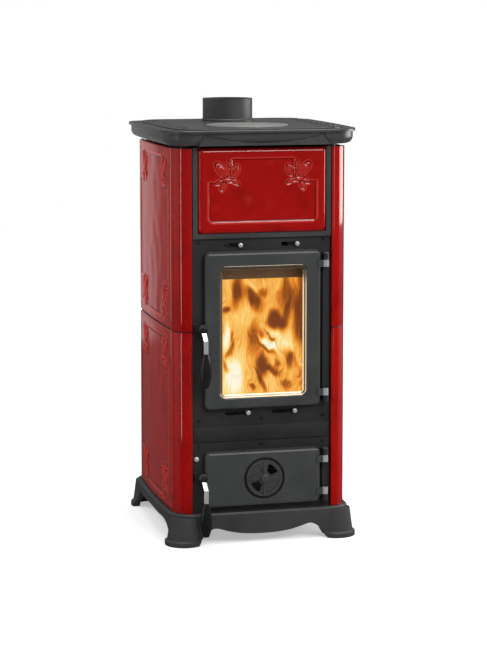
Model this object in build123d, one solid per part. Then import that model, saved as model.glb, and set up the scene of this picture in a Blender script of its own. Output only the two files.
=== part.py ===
from build123d import *
import math
import os

# Free-standing cast iron wood stove clad in glazed ceramic tiles.
# Millimetres, +Z up, front towards -Y, origin on the floor below the middle of the footprint.

# Clearances
fit_gap = 0.3
shaft_gap = 0.05
slide_gap = 0.5

# Share of a rim's height that is rounded or chamfered
head_rounding = 0.6
knob_rounding = 0.5
rim_rounding = 0.8

# Widths, from the middle outward: door, hinge, front plates and corner pieces
door_half_width = 148.0
hinge_offset = 13.5
knuckle_radius = 7.0
corner_side_gap = 9.5
corner_piece_width = 49.0

hinge_x = door_half_width + hinge_offset
corner_inner_edge = hinge_x + knuckle_radius + corner_side_gap
body_half_width = corner_inner_edge + corner_piece_width

# Plan of the clad body: bowed sides, straight front and rear
side_bow = 8.4
body_half_depth = 230.0
front_corner_radius = 46.0
rear_corner_radius = 30.0

# Heights, from the floor upward
base_height = 77.0
ash_door_rise = 15.0
ash_door_height = 137.0
plate_split_rise = 25.0
fire_door_rise = 85.0
fire_door_height = 389.0
tile_frame_rise = 35.0
tile_frame_height = 223.5
top_moulding_gap = 5.5
top_moulding_height = 41.0
flue_height = 59.0

ash_door_bottom = base_height + ash_door_rise
ash_door_top = ash_door_bottom + ash_door_height
plate_split = ash_door_top + plate_split_rise
fire_door_bottom = plate_split + fire_door_rise
fire_door_top = fire_door_bottom + fire_door_height
tile_frame_bottom = fire_door_top + tile_frame_rise
upper_plate_top = tile_frame_bottom + tile_frame_height
plate_bottom = upper_plate_top + top_moulding_gap
plate_top = plate_bottom + top_moulding_height
flue_top = plate_top + flue_height

# Cladding tiles
tile_thickness = 10.0
tile_edge_radius = 3.0
corner_piece_depth = 53.0
tile_rear_setback = 25.0
tile_joint_gap = 1.2
cladding_top_gap = 7.0
lower_tile_height = 454.5
seam_gap = 3.0
corner_return_thickness = 6.0
corner_return_depth = 15.0
rail_inset = 4.0
rail_width = 12.0
rail_tab_length = 30.0
rail_tab_pitch = 140.0
rail_tab_middle = 20.0

side_tile_front = -body_half_depth + corner_piece_depth
side_tile_rear = body_half_depth - tile_rear_setback
seam_bottom = base_height + lower_tile_height
seam_top = seam_bottom + seam_gap
cladding_top = plate_bottom - cladding_top_gap

# Base casting
base_overhang = 10.0
base_wall = 9.0
deck_thickness = 8.0
base_shoulder = 4.0
skirt_bottom = 8.0
foot_inset_x = 30.0
foot_inset_y = 17.0
toe_radius = 48.6
toe_height = 11.0
toe_slope = 4.0
foot_bottom_radius = 42.5
foot_top_radius = 35.0
foot_top_drop = 7.0
foot_wall = 9.5
foot_pocket_height = 60.0
apron_middle_height = 21.0
apron_peak_height = 39.0
apron_peak_inset = 72.0
front_arch_inset = 28.0
side_arch_height = 53.0
side_arch_inset = 17.0
side_arch_shoulder_inset = 43.0
arch_overcut = 5.0

foot_x = body_half_width - foot_inset_x
foot_y = body_half_depth - foot_inset_y

# Cast body
tile_air_gap = 17.0
wall_thickness = 6.0
wall_corner_radius = 25.0
wall_flange_land = 9.0
wall_rear_setback = 24.0
top_thickness = 8.0
plate_setback = 9.0
plate_thickness = 8.0
plate_side_gap = 2.0
plate_joint_gap = 0.6
back_rib_thickness = 6.0
back_rib_depth = 8.0
back_rib_x = 100.0
back_rib_drop = 275.0

wall_outer_half = body_half_width - tile_thickness - tile_air_gap
wall_inner_half = wall_outer_half - wall_thickness
inner_corner_radius = wall_corner_radius - wall_thickness
plate_front = -body_half_depth + plate_setback
plate_back = plate_front + plate_thickness
plate_half_width = corner_inner_edge - plate_side_gap
chamber_front = plate_back + wall_thickness
wall_rear = body_half_depth - wall_rear_setback
wall_top = plate_top - top_thickness

# Front tile above the fire door
tile_frame_depth = 6.0
tile_frame_border = 12.5
front_tile_proud = 13.0
front_tile_edge_radius = 5.0

front_tile_half_width = plate_half_width - tile_frame_border
front_tile_bottom = tile_frame_bottom + tile_frame_border

# Top plate
lip_overhang = 26.0
lip_thickness = 7.0
lip_edge_radius = 2.5
moulding_overhang = 20.0
moulding_radius = 18.0
top_plate_wall = 7.0
panel_rise = 3.0
panel_edge_radius = 1.2
panel_side_inset = 34.0
panel_end_inset = 14.0
panel_corner_radius = 60.0
panel_groove_width = 3.0
panel_groove_depth = 2.0
fascia_proud = 1.0
fascia_groove_width = 2.4
fascia_groove_depth = 2.0
fascia_foot_inset = 11.0
fascia_end_inset = 28.0
fascia_end_height = 25.0
fascia_middle_height = 6.5

lip_top = plate_top - panel_rise

# Cooking disc
disc_y = -80.0
disc_radius = 104.0
disc_side_gap = 1.2
disc_rebate_depth = 6.0
disc_ledge = 12.0
disc_proud = 1.0
disc_spigot_depth = 2.0
disc_lift_hole_radius = 5.0
disc_lift_hole_inset = 24.0

# Flue spigot
flue_rear_inset = 101.0
flue_radius = 65.0
flue_wall = 5.0
flue_sleeve_inset = 2.0
flue_sleeve_depth = 20.0
flue_collar_width = 3.0
flue_collar_height = 7.0
flue_ring_width = 11.5
flue_ring_thickness = 8.0
flue_screw_radius = 2.5
flue_screw_head_radius = 4.5
flue_screw_head_height = 4.0

flue_y = body_half_depth - flue_rear_inset
flue_bore_radius = flue_radius - flue_wall
flue_hole_radius = flue_radius - flue_sleeve_inset
flue_sleeve_radius = flue_hole_radius - fit_gap
flue_ring_radius = flue_sleeve_radius + flue_ring_width

# Both doors
door_depth = 14.0
door_seal_gap = 3.0
door_wall = 8.0
door_corner_radius = 12.0
door_edge_radius = 7.0
opening_margin = 22.0
rope_inset = 10.0
rope_width = 9.0
rope_channel_depth = 3.0
door_rim_margin = 4.0

door_back = plate_front - door_seal_gap
door_face = door_back - door_depth
opening_half_width = door_half_width - opening_margin
fire_opening_bottom = fire_door_bottom + opening_margin
fire_opening_top = fire_door_top - opening_margin
ash_opening_bottom = ash_door_bottom + opening_margin
ash_opening_top = ash_door_top - opening_margin

# Window of the fire door
window_side_border = 40.0
window_bottom_border = 30.0
window_top_border = 37.0
window_corner_radius = 12.0
window_bevel = 6.0
glass_border = 11.0
glass_thickness = 4.0
gasket_thickness = 2.0
gasket_width = 8.0
clip_width = 16.0
clip_length = 34.0
clip_thickness = 2.0
clip_screw_radius = 2.0
clip_boss_radius = 5.0
clip_screw_gap = 1.0
clip_corner_radius = 2.0
glass_corner_radius = 3.0
clip_spacing = 180.0

window_half_width = door_half_width - window_side_border
window_bottom = fire_door_bottom + window_bottom_border
window_top = fire_door_top - window_top_border
window_middle = (window_bottom + window_top) / 2.0
gasket_front = door_face + door_wall
glass_front = gasket_front + gasket_thickness
glass_back = glass_front + glass_thickness
clip_screw_offset = clip_boss_radius + clip_screw_gap

# Door hinges
hinge_setback = 2.0
lug_length = 17.0
lug_root = 2.0
lug_arm_front = 5.0
lug_arm_back = 4.0
pin_radius = 3.5
pin_head_radius = 5.5
pin_head_height = 2.5
pin_end_gap = 1.0
knuckle_length = 15.0
knuckle_gap = 1.5
fire_lug_inset = 24.0
ash_lug_inset = 19.0
hinge_rib_half_width = 6.5
hinge_rib_depth = 8.0
hinge_rib_gap = 3.0

hinge_y = door_face + hinge_setback

# Door handles
handle_offset = 5.0
handle_rise = 7.0
handle_boss_radius = 11.0
handle_boss_depth = 9.0
handle_boss_proud = 1.0
handle_boss_root = 3.0
handle_web_setback = 1.0
spindle_radius = 4.0
lever_width = 11.0
lever_thickness = 5.0
lever_eye_radius = 8.5
lever_root_share = 0.65
lever_reach = 30.0
lever_bend_drop = 24.0
lever_length = 57.0
grip_length = 84.0
grip_width = 30.0
grip_depth = 22.0
grip_neck_width = 14.0
grip_neck_depth = 12.0
grip_tip_share = 0.45
latch_length = 19.0
latch_width = 9.0
latch_thickness = 4.5
keeper_width = 9.0
keeper_height = 26.0
keeper_ramp = 1.2
keeper_end_gap = 3.0

handle_x = -door_half_width - handle_offset
fire_handle_z = (fire_door_bottom + fire_door_top) / 2.0 + handle_rise
ash_handle_z = (ash_door_bottom + ash_door_top) / 2.0 + handle_rise
boss_face = door_face - handle_boss_proud
boss_back = boss_face + handle_boss_depth
lever_back = boss_face - fit_gap
lever_front = lever_back - lever_thickness
grip_y = lever_back - lever_reach + lever_thickness / 2.0
tongue_front = boss_back + fit_gap
tongue_back = tongue_front + latch_thickness

# Air wheel on the ash door
wheel_x = 3.0
wheel_radius = 46.0
wheel_side_gap = 6.5
wheel_recess_depth = 3.0
wheel_face_height = 2.5
wheel_rim_width = 5.0
wheel_rim_height = 1.5
wheel_rib_width = 6.0
wheel_rib_height = 3.0
wheel_knob_radius = 11.0
wheel_knob_height = 9.0
wheel_window_inner = 17.0
wheel_window_outer = 37.0
wheel_window_angle = 52.0
wheel_shaft_radius = 4.0
wheel_backing = 1.0
wheel_nut_radius = 7.0
wheel_nut_height = 5.0

wheel_z = (ash_door_bottom + ash_door_top) / 2.0
wheel_recess_radius = wheel_radius + wheel_side_gap
wheel_back = door_face + wheel_recess_depth - fit_gap
wheel_face = wheel_back - wheel_face_height

# Air slots in the upper plate and the sliders behind them
upper_slot_drop = 18.0
upper_slot_left = -96.0
upper_slot_right = 49.0
upper_slot_length = 47.0
lower_slot_drop = 14.0
lower_slot_left = -93.0
lower_slot_right = 27.0
lower_slot_length = 64.0
slot_height = 10.0
slot_corner_share = 0.49
slider_thickness = 3.0
slider_height = 22.0
slider_margin = 8.0
slider_knob_radius = 6.0
slider_knob_height = 7.0
slider_stem_radius = 3.5
slider_end_gap = 2.5
guide_thickness = 3.0
guide_lip = 4.0
guide_length = 16.0
guide_x = 60.0

upper_slot_z = tile_frame_bottom - upper_slot_drop
lower_slot_z = fire_door_bottom - lower_slot_drop
slider_front = plate_back + fit_gap
slider_back = slider_front + slider_thickness

# Ash chamber and its pan
chamber_gap = 1.0
ash_floor_thickness = 8.0
ash_floor_rib_x = 120.0
ash_floor_rib_width = 10.0
pan_side_gap = 1.0
pan_setback = 21.0
pan_depth = 330.0
pan_height = 62.0
pan_wall = 1.5
pan_handle_half_width = 40.0
pan_handle_radius = 4.0
pan_handle_reach = 12.0
pan_handle_rise = 40.0

pan_half_width = opening_half_width - door_corner_radius - pan_side_gap
pan_front = plate_back + pan_setback
pan_bottom = ash_opening_bottom + fit_gap

# Fire chamber
hearth_drop = 57.0
hearth_thickness = 8.0
grate_half_width = 88.0
grate_front = -80.0
grate_depth = 170.0
grate_thickness = 12.0
grate_ledge = 6.0
grate_bar_width = 9.0
grate_slot_count = 9
brick_thickness = 25.0
brick_height = 386.0
baffle_thickness = 22.0
baffle_front_gap = 95.0
log_guard_height = 44.0
log_guard_thickness = 7.0
log_guard_foot = 21.0
deflector_overlap = 34.0
deflector_thickness = 3.0
deflector_depth = 22.0
deflector_rise = 8.0
deflector_side_gap = 2.0
log_radius = 33.0
log_length = 235.0
log_gap = 1.0

hearth_top = fire_opening_bottom - hearth_drop
hearth_bottom = hearth_top - hearth_thickness
grate_rear = grate_front + grate_depth
grate_bottom = hearth_bottom + hearth_thickness / 2.0
grate_top = grate_bottom + grate_thickness
brick_top = hearth_top + brick_height
brick_inner_half = wall_inner_half - brick_thickness

# Riddling rod and plate
shaker_inset = 8.0
shaker_drop = 15.0
shaker_rod_radius = 4.0
shaker_knob_radius = 6.5
shaker_knob_height = 9.0
shaker_travel = 30.0
shaker_reach = 211.0
shaker_arm_width = 6.0
shaker_arm_depth = 18.0
riddle_thickness = 5.0
riddle_drop = 3.0
riddle_overlap = 16.0
riddle_end_gap = 4.0
riddle_slot_count = 5
riddle_slot_margin = 34.0
riddle_guide_width = 12.0
riddle_guide_front = 40.0
riddle_lip_height = 3.0
riddle_lip_width = 6.0
riddle_post_width = 20.0
riddle_post_inset = 10.0
riddle_bridge_gap = 1.0
riddle_bridge_height = 4.0

shaker_x = -plate_half_width + shaker_inset
shaker_z = ash_door_top - shaker_drop
shaker_rear = plate_front + shaker_reach
riddle_half_width = grate_half_width + riddle_overlap
riddle_top = hearth_bottom - riddle_drop
riddle_bottom = riddle_top - riddle_thickness
riddle_front = grate_front + shaker_travel + riddle_end_gap
riddle_rear = grate_rear - shaker_travel - riddle_end_gap

# Rear heat shield
shield_thickness = 2.0
shield_proud = 2.0
shield_side_overlap = 6.0
shield_bottom_gap = 13.0
shield_top_gap = 14.0
shield_side_return = 22.0
shield_vent_count = 9
shield_vent_width = 22.0
shield_vent_height = 8.0
shield_vent_pitch = 36.0
shield_vent_inset = 60.0
shield_vent_row_gap = 25.0
spacer_radius = 7.0
spacer_x = 150.0
spacer_inset = 120.0
shield_screw_radius = 3.0
shield_screw_head_radius = 6.0
shield_screw_head_height = 3.5

shield_face = body_half_depth + shield_proud
shield_front = shield_face - shield_thickness
shield_bottom = base_height + shield_bottom_gap
shield_top = plate_bottom - shield_top_gap

# Fasteners on the front, and the rods that hold the top plate to the base
front_screw_radius = 2.5
front_screw_head_radius = 4.2
front_screw_head_height = 2.4
front_screw_inset = 17.0
upper_screw_rise = 10.0
middle_screw_drop = 15.0
lower_screw_drop = 9.0
rod_radius = 3.0
rod_side_gap = 2.0
rod_y = 95.0

front_screw_x = plate_half_width - front_screw_inset
flange_inner_half = front_screw_x - wall_flange_land
upper_screw_z = upper_slot_z + upper_screw_rise
middle_screw_z = lower_slot_z - middle_screw_drop
lower_screw_z = plate_split - lower_screw_drop
rod_x = wall_outer_half + rod_side_gap + rod_radius

# The footprint runs from the front of the grips to the rear toes, and its middle is the origin
footprint_front = grip_y - grip_depth / 2.0
footprint_rear = foot_y + toe_radius
footprint_shift = -(footprint_front + footprint_rear) / 2.0


def block(x_low, x_high, y_low, y_high, z_low, z_high):
    box = Box(x_high - x_low, y_high - y_low, z_high - z_low, align=(Align.MIN,) * 3)
    return Pos(x_low, y_low, z_low) * box


def prism(face, z_low, z_high):
    return extrude(Pos(0, 0, z_low) * face, amount=z_high - z_low, dir=(0, 0, 1))


def bowed_face(half_width, half_depth, front_radius, rear_radius):
    """Face seen from above, with bowed sides, straight ends and rounded corners."""
    half = half_width - side_bow
    right = ThreePointArc((half, -half_depth), (half_width, 0), (half, half_depth))
    left = ThreePointArc((-half, half_depth), (-half_width, 0), (-half, -half_depth))
    rear = Line((half, half_depth), (-half, half_depth))
    front = Line((-half, -half_depth), (half, -half_depth))
    outline = make_face([right, rear, left, front])
    corners = outline.vertices().sort_by(Axis.Y)[:2]
    outline = fillet(corners, front_radius)
    corners = outline.vertices().sort_by(Axis.Y)[-2:]
    return fillet(corners, rear_radius)


def plan(grow):
    """Face of the body's outline seen from above, moved outward by grow."""
    return bowed_face(body_half_width + grow, body_half_depth + grow, front_corner_radius + grow,
                      rear_corner_radius + grow)


def front_slab(half_width, z_low, z_high, y_front, y_back, corner=0.0, centre_x=0.0):
    """Upright slab facing the front, with rounded corners where corner is given."""
    width = 2.0 * half_width
    height = z_high - z_low
    face = RectangleRounded(width, height, corner) if corner else Rectangle(width, height)
    solid = extrude(face, amount=y_back - y_front)
    return Pos(centre_x, y_back, (z_low + z_high) / 2.0) * Rot(90, 0, 0) * solid


def front_rod(x, z, radius, y_front, y_back):
    """Round bar along Y."""
    bar = Cylinder(radius, y_back - y_front)
    return Pos(x, (y_front + y_back) / 2.0, z) * Rot(90, 0, 0) * bar


def upright_rod(x, y, radius, z_low, z_high):
    return Pos(x, y, (z_low + z_high) / 2.0) * Cylinder(radius, z_high - z_low)


def front_edges(solid):
    return solid.faces().sort_by(Axis.Y)[0].edges()


def top_edges(solid):
    return solid.faces().sort_by(Axis.Z)[-1].edges()


def mirrored(solid):
    return mirror(solid, about=Plane.YZ)


def group(solids):
    return Compound(children=list(solids))


def both_signs(x_inner, x_outer):
    """Low and high X of a strip between two distances, on the right and on the left."""
    return [(x_inner, x_outer), (-x_outer, -x_inner)]


def save(name, shape):
    export_step(Pos(0, footprint_shift, 0) * shape, f"parts/{name}.step")


# Base

def foot(x, y):
    """Hollow foot of the base casting and the pocket under it."""
    foot_top = base_height - foot_top_drop
    slope_top = toe_height + toe_slope
    toe = upright_rod(x, y, toe_radius, 0, toe_height)
    slope = Cone(toe_radius, foot_bottom_radius, toe_slope)
    column = Cone(foot_bottom_radius, foot_top_radius, foot_top - slope_top)
    pocket = Cone(foot_bottom_radius - foot_wall, foot_top_radius - foot_wall, foot_pocket_height)
    solid = toe + Pos(x, y, toe_height + toe_slope / 2.0) * slope
    solid += Pos(x, y, (slope_top + foot_top) / 2.0) * column
    return solid, Pos(x, y, foot_pocket_height / 2.0) * pocket


def arch_face(half):
    """Face below a curve through the given points and their mirror images."""
    points = [(-along, z) for along, z in reversed(half[1:])] + half
    return make_face([Spline(*points), Line(points[-1], points[0])])


def front_arch():
    """Cut under the front and rear aprons: low in the middle, high beside each foot."""
    peak_x = foot_x - apron_peak_inset
    end_x = foot_x - front_arch_inset
    rise = apron_peak_height - apron_middle_height
    face = arch_face([
        (0, apron_middle_height),
        (peak_x * 0.5, apron_middle_height + rise * 0.22),
        (peak_x * 0.8, apron_middle_height + rise * 0.72),
        (peak_x, apron_peak_height),
        ((peak_x + end_x) / 2.0, apron_peak_height * 0.66),
        (end_x, -arch_overcut),
    ])
    reach = foot_y + toe_radius
    return Pos(0, reach, 0) * Rot(90, 0, 0) * extrude(face, amount=2.0 * reach)


def side_arch():
    """Flat-topped arch under each side."""
    shoulder = foot_y - side_arch_shoulder_inset
    end = foot_y - side_arch_inset
    face = arch_face([
        (0, side_arch_height),
        (shoulder * 0.6, side_arch_height * 0.96),
        (shoulder, side_arch_height * 0.8),
        ((shoulder + 3.0 * end) / 4.0, side_arch_height * 0.5),
        (end, -arch_overcut),
    ])
    reach = foot_x + toe_radius
    return Pos(-reach, 0, 0) * Rot(0, 0, 90) * Rot(90, 0, 0) * extrude(face, amount=2.0 * reach)


def base_casting():
    deck_bottom = base_height - deck_thickness
    base = prism(plan(base_overhang), skirt_bottom, base_height)
    base = chamfer(top_edges(base), base_shoulder)
    base -= prism(plan(base_overhang - base_wall), skirt_bottom, deck_bottom)
    for x in (-foot_x, foot_x):
        for y in (-foot_y, foot_y):
            column, pocket = foot(x, y)
            base = base + column - pocket
    base = base - front_arch() - side_arch()
    for x in (-rod_x, rod_x):
        for y in (-rod_y, rod_y):
            base -= upright_rod(x, y, rod_radius + shaft_gap, deck_bottom, base_height)
    return base


# Cast body

def side_wall():
    """Right wall with the flange that the front plates are screwed to."""
    face = make_face(Polyline(
        (flange_inner_half, plate_back),
        (wall_outer_half, plate_back),
        (wall_outer_half, wall_rear),
        (wall_inner_half, wall_rear),
        (wall_inner_half, chamber_front),
        (flange_inner_half, chamber_front),
        (flange_inner_half, plate_back),
    ))
    corner = face.vertices().sort_by_distance((wall_outer_half, plate_back))[0]
    face = fillet(corner, wall_corner_radius)
    corner = face.vertices().sort_by_distance((wall_inner_half, chamber_front))[0]
    face = fillet(corner, inner_corner_radius)
    wall = prism(face, base_height, wall_top)
    for z in (upper_screw_z, middle_screw_z, lower_screw_z):
        wall -= front_rod(front_screw_x, z, front_screw_radius + shaft_gap, plate_back,
                          chamber_front)
    return wall


def left_wall():
    bore = front_rod(shaker_x, shaker_z, shaker_rod_radius + slide_gap, plate_back, chamber_front)
    return mirrored(side_wall()) - bore


def back_wall():
    wall = block(-wall_outer_half, wall_outer_half, wall_rear, wall_rear + wall_thickness,
                 base_height, wall_top)
    for x in (-back_rib_x, back_rib_x):
        wall += block(x - back_rib_thickness / 2.0, x + back_rib_thickness / 2.0,
                      wall_rear - back_rib_depth, wall_rear, wall_top - back_rib_drop, wall_top)
    for x, z in shield_screw_places():
        wall -= front_rod(x, z, shield_screw_radius + shaft_gap, wall_rear,
                          wall_rear + wall_thickness)
    return wall


def upper_plate_screws():
    return [(-front_screw_x, upper_screw_z), (front_screw_x, upper_screw_z),
            (-front_screw_x, middle_screw_z), (0, middle_screw_z),
            (front_screw_x, middle_screw_z)]


def lower_plate_screws():
    return [(-front_screw_x, lower_screw_z), (0, lower_screw_z), (front_screw_x, lower_screw_z)]


def hinge_knuckle(z_low):
    z_high = z_low + knuckle_length
    barrel = upright_rod(hinge_x, hinge_y, knuckle_radius, z_low, z_high)
    web = block(hinge_x - knuckle_radius, hinge_x + knuckle_radius, hinge_y, plate_front,
                z_low, z_high)
    return barrel + web - upright_rod(hinge_x, hinge_y, pin_radius + shaft_gap, z_low, z_high)


def hinge_set(lug_lower, lug_upper):
    """Fixed knuckles above the upper lug and below the lower one, and the rib between."""
    lower = hinge_knuckle(lug_lower - knuckle_gap - knuckle_length)
    upper = hinge_knuckle(lug_upper + lug_length + knuckle_gap)
    rib = block(hinge_x - hinge_rib_half_width, hinge_x + hinge_rib_half_width,
                plate_front - hinge_rib_depth, plate_front,
                lug_lower + lug_length + hinge_rib_gap, lug_upper - hinge_rib_gap)
    return lower + upper + rib


def fire_lugs():
    return (fire_door_bottom + fire_lug_inset, fire_door_top - fire_lug_inset - lug_length)


def ash_lugs():
    return (ash_door_bottom + ash_lug_inset, ash_door_top - ash_lug_inset - lug_length)


def slot_pair(z, left, right, length):
    low, high = z - slot_height / 2.0, z + slot_height / 2.0
    corner = slot_height * slot_corner_share
    first = front_slab(length / 2.0, low, high, plate_front, plate_back, corner,
                       left + length / 2.0)
    return first + Pos(right - left, 0, 0) * first


def front_plate(z_low, z_high, opening_low, opening_high, lugs, screws):
    """Cast plate between the corner pieces with a door opening, hinge knuckles and bores."""
    plate = front_slab(plate_half_width, z_low, z_high, plate_front, plate_back)
    plate -= front_slab(opening_half_width, opening_low, opening_high, plate_front, plate_back,
                        door_corner_radius)
    plate += hinge_set(*lugs)
    for x, z in screws:
        plate -= front_rod(x, z, front_screw_radius + shaft_gap, plate_front, plate_back)
    return plate


def upper_front_plate():
    plate = front_plate(plate_split + plate_joint_gap, upper_plate_top, fire_opening_bottom,
                        fire_opening_top, fire_lugs(), upper_plate_screws())
    plate -= slot_pair(upper_slot_z, upper_slot_left, upper_slot_right, upper_slot_length)
    return plate - slot_pair(lower_slot_z, lower_slot_left, lower_slot_right, lower_slot_length)


def lower_front_plate():
    plate = front_plate(base_height, plate_split, ash_opening_bottom, ash_opening_top,
                        ash_lugs(), lower_plate_screws())
    return plate - front_rod(shaker_x, shaker_z, shaker_rod_radius + shaft_gap, plate_front,
                             plate_back)


def front_plate_screws():
    screws = []
    for x, z in upper_plate_screws() + lower_plate_screws():
        head = front_rod(x, z, front_screw_head_radius, plate_front - front_screw_head_height,
                         plate_front)
        head = fillet(front_edges(head), front_screw_head_height * head_rounding)
        screws.append(head + front_rod(x, z, front_screw_radius, plate_front, plate_back))
    return group(screws)


def tie_rods():
    rods = []
    for x in (-rod_x, rod_x):
        for y in (-rod_y, rod_y):
            rods.append(upright_rod(x, y, rod_radius, base_height - deck_thickness, wall_top))
    return group(rods)


# Cladding

def cladding_shell(z_low, z_high):
    return prism(plan(0), z_low, z_high) - prism(plan(-tile_thickness), z_low, z_high)


def side_tile(z_low, z_high):
    """Right side tile, bowed, with rounded outer edges."""
    window = block(wall_outer_half, body_half_width + tile_thickness, side_tile_front,
                   side_tile_rear, z_low, z_high)
    tile = cladding_shell(z_low, z_high) & window
    return fillet(tile.faces().sort_by(Axis.X)[-1].edges(), tile_edge_radius)


def corner_tile(z_low, z_high):
    """Right front corner piece with its return beside the front plates."""
    window = block(corner_inner_edge, body_half_width, -body_half_depth,
                   side_tile_front - tile_joint_gap, z_low, z_high)
    piece = cladding_shell(z_low, z_high) & window
    piece += block(corner_inner_edge, corner_inner_edge + corner_return_thickness,
                   -body_half_depth, -body_half_depth + corner_return_depth, z_low, z_high)
    inner_edge = (corner_inner_edge, -body_half_depth, (z_low + z_high) / 2.0)
    upright = piece.edges().filter_by(Axis.Z).sort_by_distance(inner_edge)[0]
    return fillet(upright, tile_edge_radius)


def tile_rail():
    """Right rail in the seam, on which the upper tiles stand."""
    ring = prism(plan(-rail_inset), seam_bottom, seam_top)
    ring -= prism(plan(-rail_inset - rail_width), seam_bottom, seam_top)
    ring &= block(corner_inner_edge + rail_inset, body_half_width, -body_half_depth,
                  side_tile_rear - rail_inset, seam_bottom, seam_top)
    tab_end = body_half_width - rail_inset - rail_width / 2.0
    for step in (-1, 0, 1):
        y = rail_tab_middle + step * rail_tab_pitch
        ring += block(wall_outer_half, tab_end, y - rail_tab_length / 2.0,
                      y + rail_tab_length / 2.0, seam_bottom, seam_top)
    return ring


def front_tile_frame():
    frame = front_slab(plate_half_width, tile_frame_bottom, upper_plate_top,
                       plate_front - tile_frame_depth, plate_front)
    return frame - front_slab(front_tile_half_width + slide_gap, front_tile_bottom - slide_gap,
                              upper_plate_top + slide_gap, plate_front - tile_frame_depth,
                              plate_front)


def front_tile():
    tile = front_slab(front_tile_half_width, front_tile_bottom, upper_plate_top,
                      plate_front - front_tile_proud, plate_front)
    return fillet(front_edges(tile), front_tile_edge_radius)


# Top

def swag_face():
    """Outline, in the front plane, of the panel whose upper edge hangs like a swag."""
    foot_half = corner_inner_edge - fascia_foot_inset
    end_half = corner_inner_edge - fascia_end_inset
    end_z = plate_bottom + fascia_end_height
    return Rot(90, 0, 0) * make_face([
        Line((-foot_half, plate_bottom), (foot_half, plate_bottom)),
        Line((foot_half, plate_bottom), (end_half, end_z)),
        ThreePointArc((end_half, end_z), (0, plate_bottom + fascia_middle_height),
                      (-end_half, end_z)),
        Line((-end_half, end_z), (-foot_half, plate_bottom)),
    ])


def swag_slab(face, y_front, y_back):
    return extrude(Pos(0, y_back, 0) * face, amount=y_back - y_front, dir=(0, -1, 0))


def raised_panel(grow, z_low, z_high):
    """Slab in the shape of the cooking surface, which stands up from the lip."""
    half_width = body_half_width + lip_overhang - panel_side_inset + grow
    half_depth = body_half_depth + lip_overhang - panel_end_inset + grow
    corner = panel_corner_radius + grow
    return prism(bowed_face(half_width, half_depth, corner, corner), z_low, z_high)


def top_plate():
    moulding = prism(plan(moulding_overhang), plate_bottom, lip_top)
    moulding = fillet(moulding.faces().sort_by(Axis.Z)[0].edges(), moulding_radius)
    lip = prism(plan(lip_overhang), lip_top - lip_thickness, lip_top)
    plate = moulding + fillet(top_edges(lip), lip_edge_radius)
    moulding_face = -body_half_depth - moulding_overhang
    plate -= swag_slab(offset(swag_face(), amount=fascia_groove_width),
                       moulding_face - fascia_proud, moulding_face + fascia_groove_depth)
    plate += swag_slab(swag_face(), moulding_face - fascia_proud, moulding_face + moulding_radius)
    hollow = plan(moulding_overhang - moulding_radius - top_plate_wall)
    plate -= prism(hollow, plate_bottom, wall_top)
    groove_floor = lip_top - panel_groove_depth
    plate -= raised_panel(panel_groove_width, groove_floor, lip_top)
    panel = raised_panel(0, groove_floor, plate_top)
    plate += fillet(top_edges(panel), panel_edge_radius)
    plate -= upright_rod(0, disc_y, disc_radius + disc_side_gap, plate_top - disc_rebate_depth,
                         plate_top)
    plate -= upright_rod(0, disc_y, disc_radius - disc_ledge, wall_top, plate_top)
    return plate - upright_rod(0, flue_y, flue_hole_radius, wall_top, plate_top)


def cooking_disc():
    low = plate_top - disc_rebate_depth
    disc = upright_rod(0, disc_y, disc_radius, low, plate_top + disc_proud)
    disc = fillet(top_edges(disc), disc_proud * rim_rounding)
    disc += upright_rod(0, disc_y, disc_radius - disc_ledge - slide_gap,
                        low - disc_spigot_depth, low)
    return disc - upright_rod(0, disc_y - disc_radius + disc_lift_hole_inset,
                              disc_lift_hole_radius, low - disc_spigot_depth,
                              plate_top + disc_proud)


def flue_spigot():
    sleeve_bottom = plate_top - flue_sleeve_depth
    collar_top = plate_top + flue_collar_height
    tube = upright_rod(0, flue_y, flue_radius, plate_top, flue_top)
    collar = upright_rod(0, flue_y, flue_radius + flue_collar_width, plate_top, collar_top)
    collar = chamfer(top_edges(collar), flue_collar_width * rim_rounding)
    sleeve = upright_rod(0, flue_y, flue_sleeve_radius, sleeve_bottom, plate_top)
    return tube + collar + sleeve - upright_rod(0, flue_y, flue_bore_radius, sleeve_bottom,
                                                flue_top)


def flue_retaining_ring():
    """Ring under the top plate that grips the spigot's sleeve, with its screws."""
    low = wall_top - flue_ring_thickness
    bore_radius = flue_sleeve_radius + shaft_gap
    screw_circle = (flue_ring_radius + bore_radius) / 2.0
    ring = upright_rod(0, flue_y, flue_ring_radius, low, wall_top)
    ring -= upright_rod(0, flue_y, bore_radius, low, wall_top)
    screws = []
    for turn in (90, 210, 330):
        x = screw_circle * math.cos(math.radians(turn))
        y = flue_y + screw_circle * math.sin(math.radians(turn))
        ring -= upright_rod(x, y, flue_screw_radius + shaft_gap, low, wall_top)
        head = upright_rod(x, y, flue_screw_head_radius, low - flue_screw_head_height, low)
        screws.append(head + upright_rod(x, y, flue_screw_radius, low, wall_top))
    return group([ring] + screws)


# Doors

def hinge_lug(z_low):
    z_high = z_low + lug_length
    barrel = upright_rod(hinge_x, hinge_y, knuckle_radius, z_low, z_high)
    return barrel + block(door_half_width - door_edge_radius - lug_root, hinge_x,
                          hinge_y - lug_arm_front, hinge_y + lug_arm_back, z_low, z_high)


def hinge_pins():
    """Each pin stands in its fixed knuckle and reaches through the door's lug."""
    pins = []
    for lower, upper in (fire_lugs(), ash_lugs()):
        bottom = lower - knuckle_gap - knuckle_length
        pins.append(upright_rod(hinge_x, hinge_y, pin_radius, bottom,
                                lower + lug_length - pin_end_gap))
        top = upper + lug_length + knuckle_gap + knuckle_length
        pin = upright_rod(hinge_x, hinge_y, pin_radius, upper + pin_end_gap, top)
        pins.append(pin + upright_rod(hinge_x, hinge_y, pin_head_radius, top,
                                      top + pin_head_height))
    return group(pins)


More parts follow.
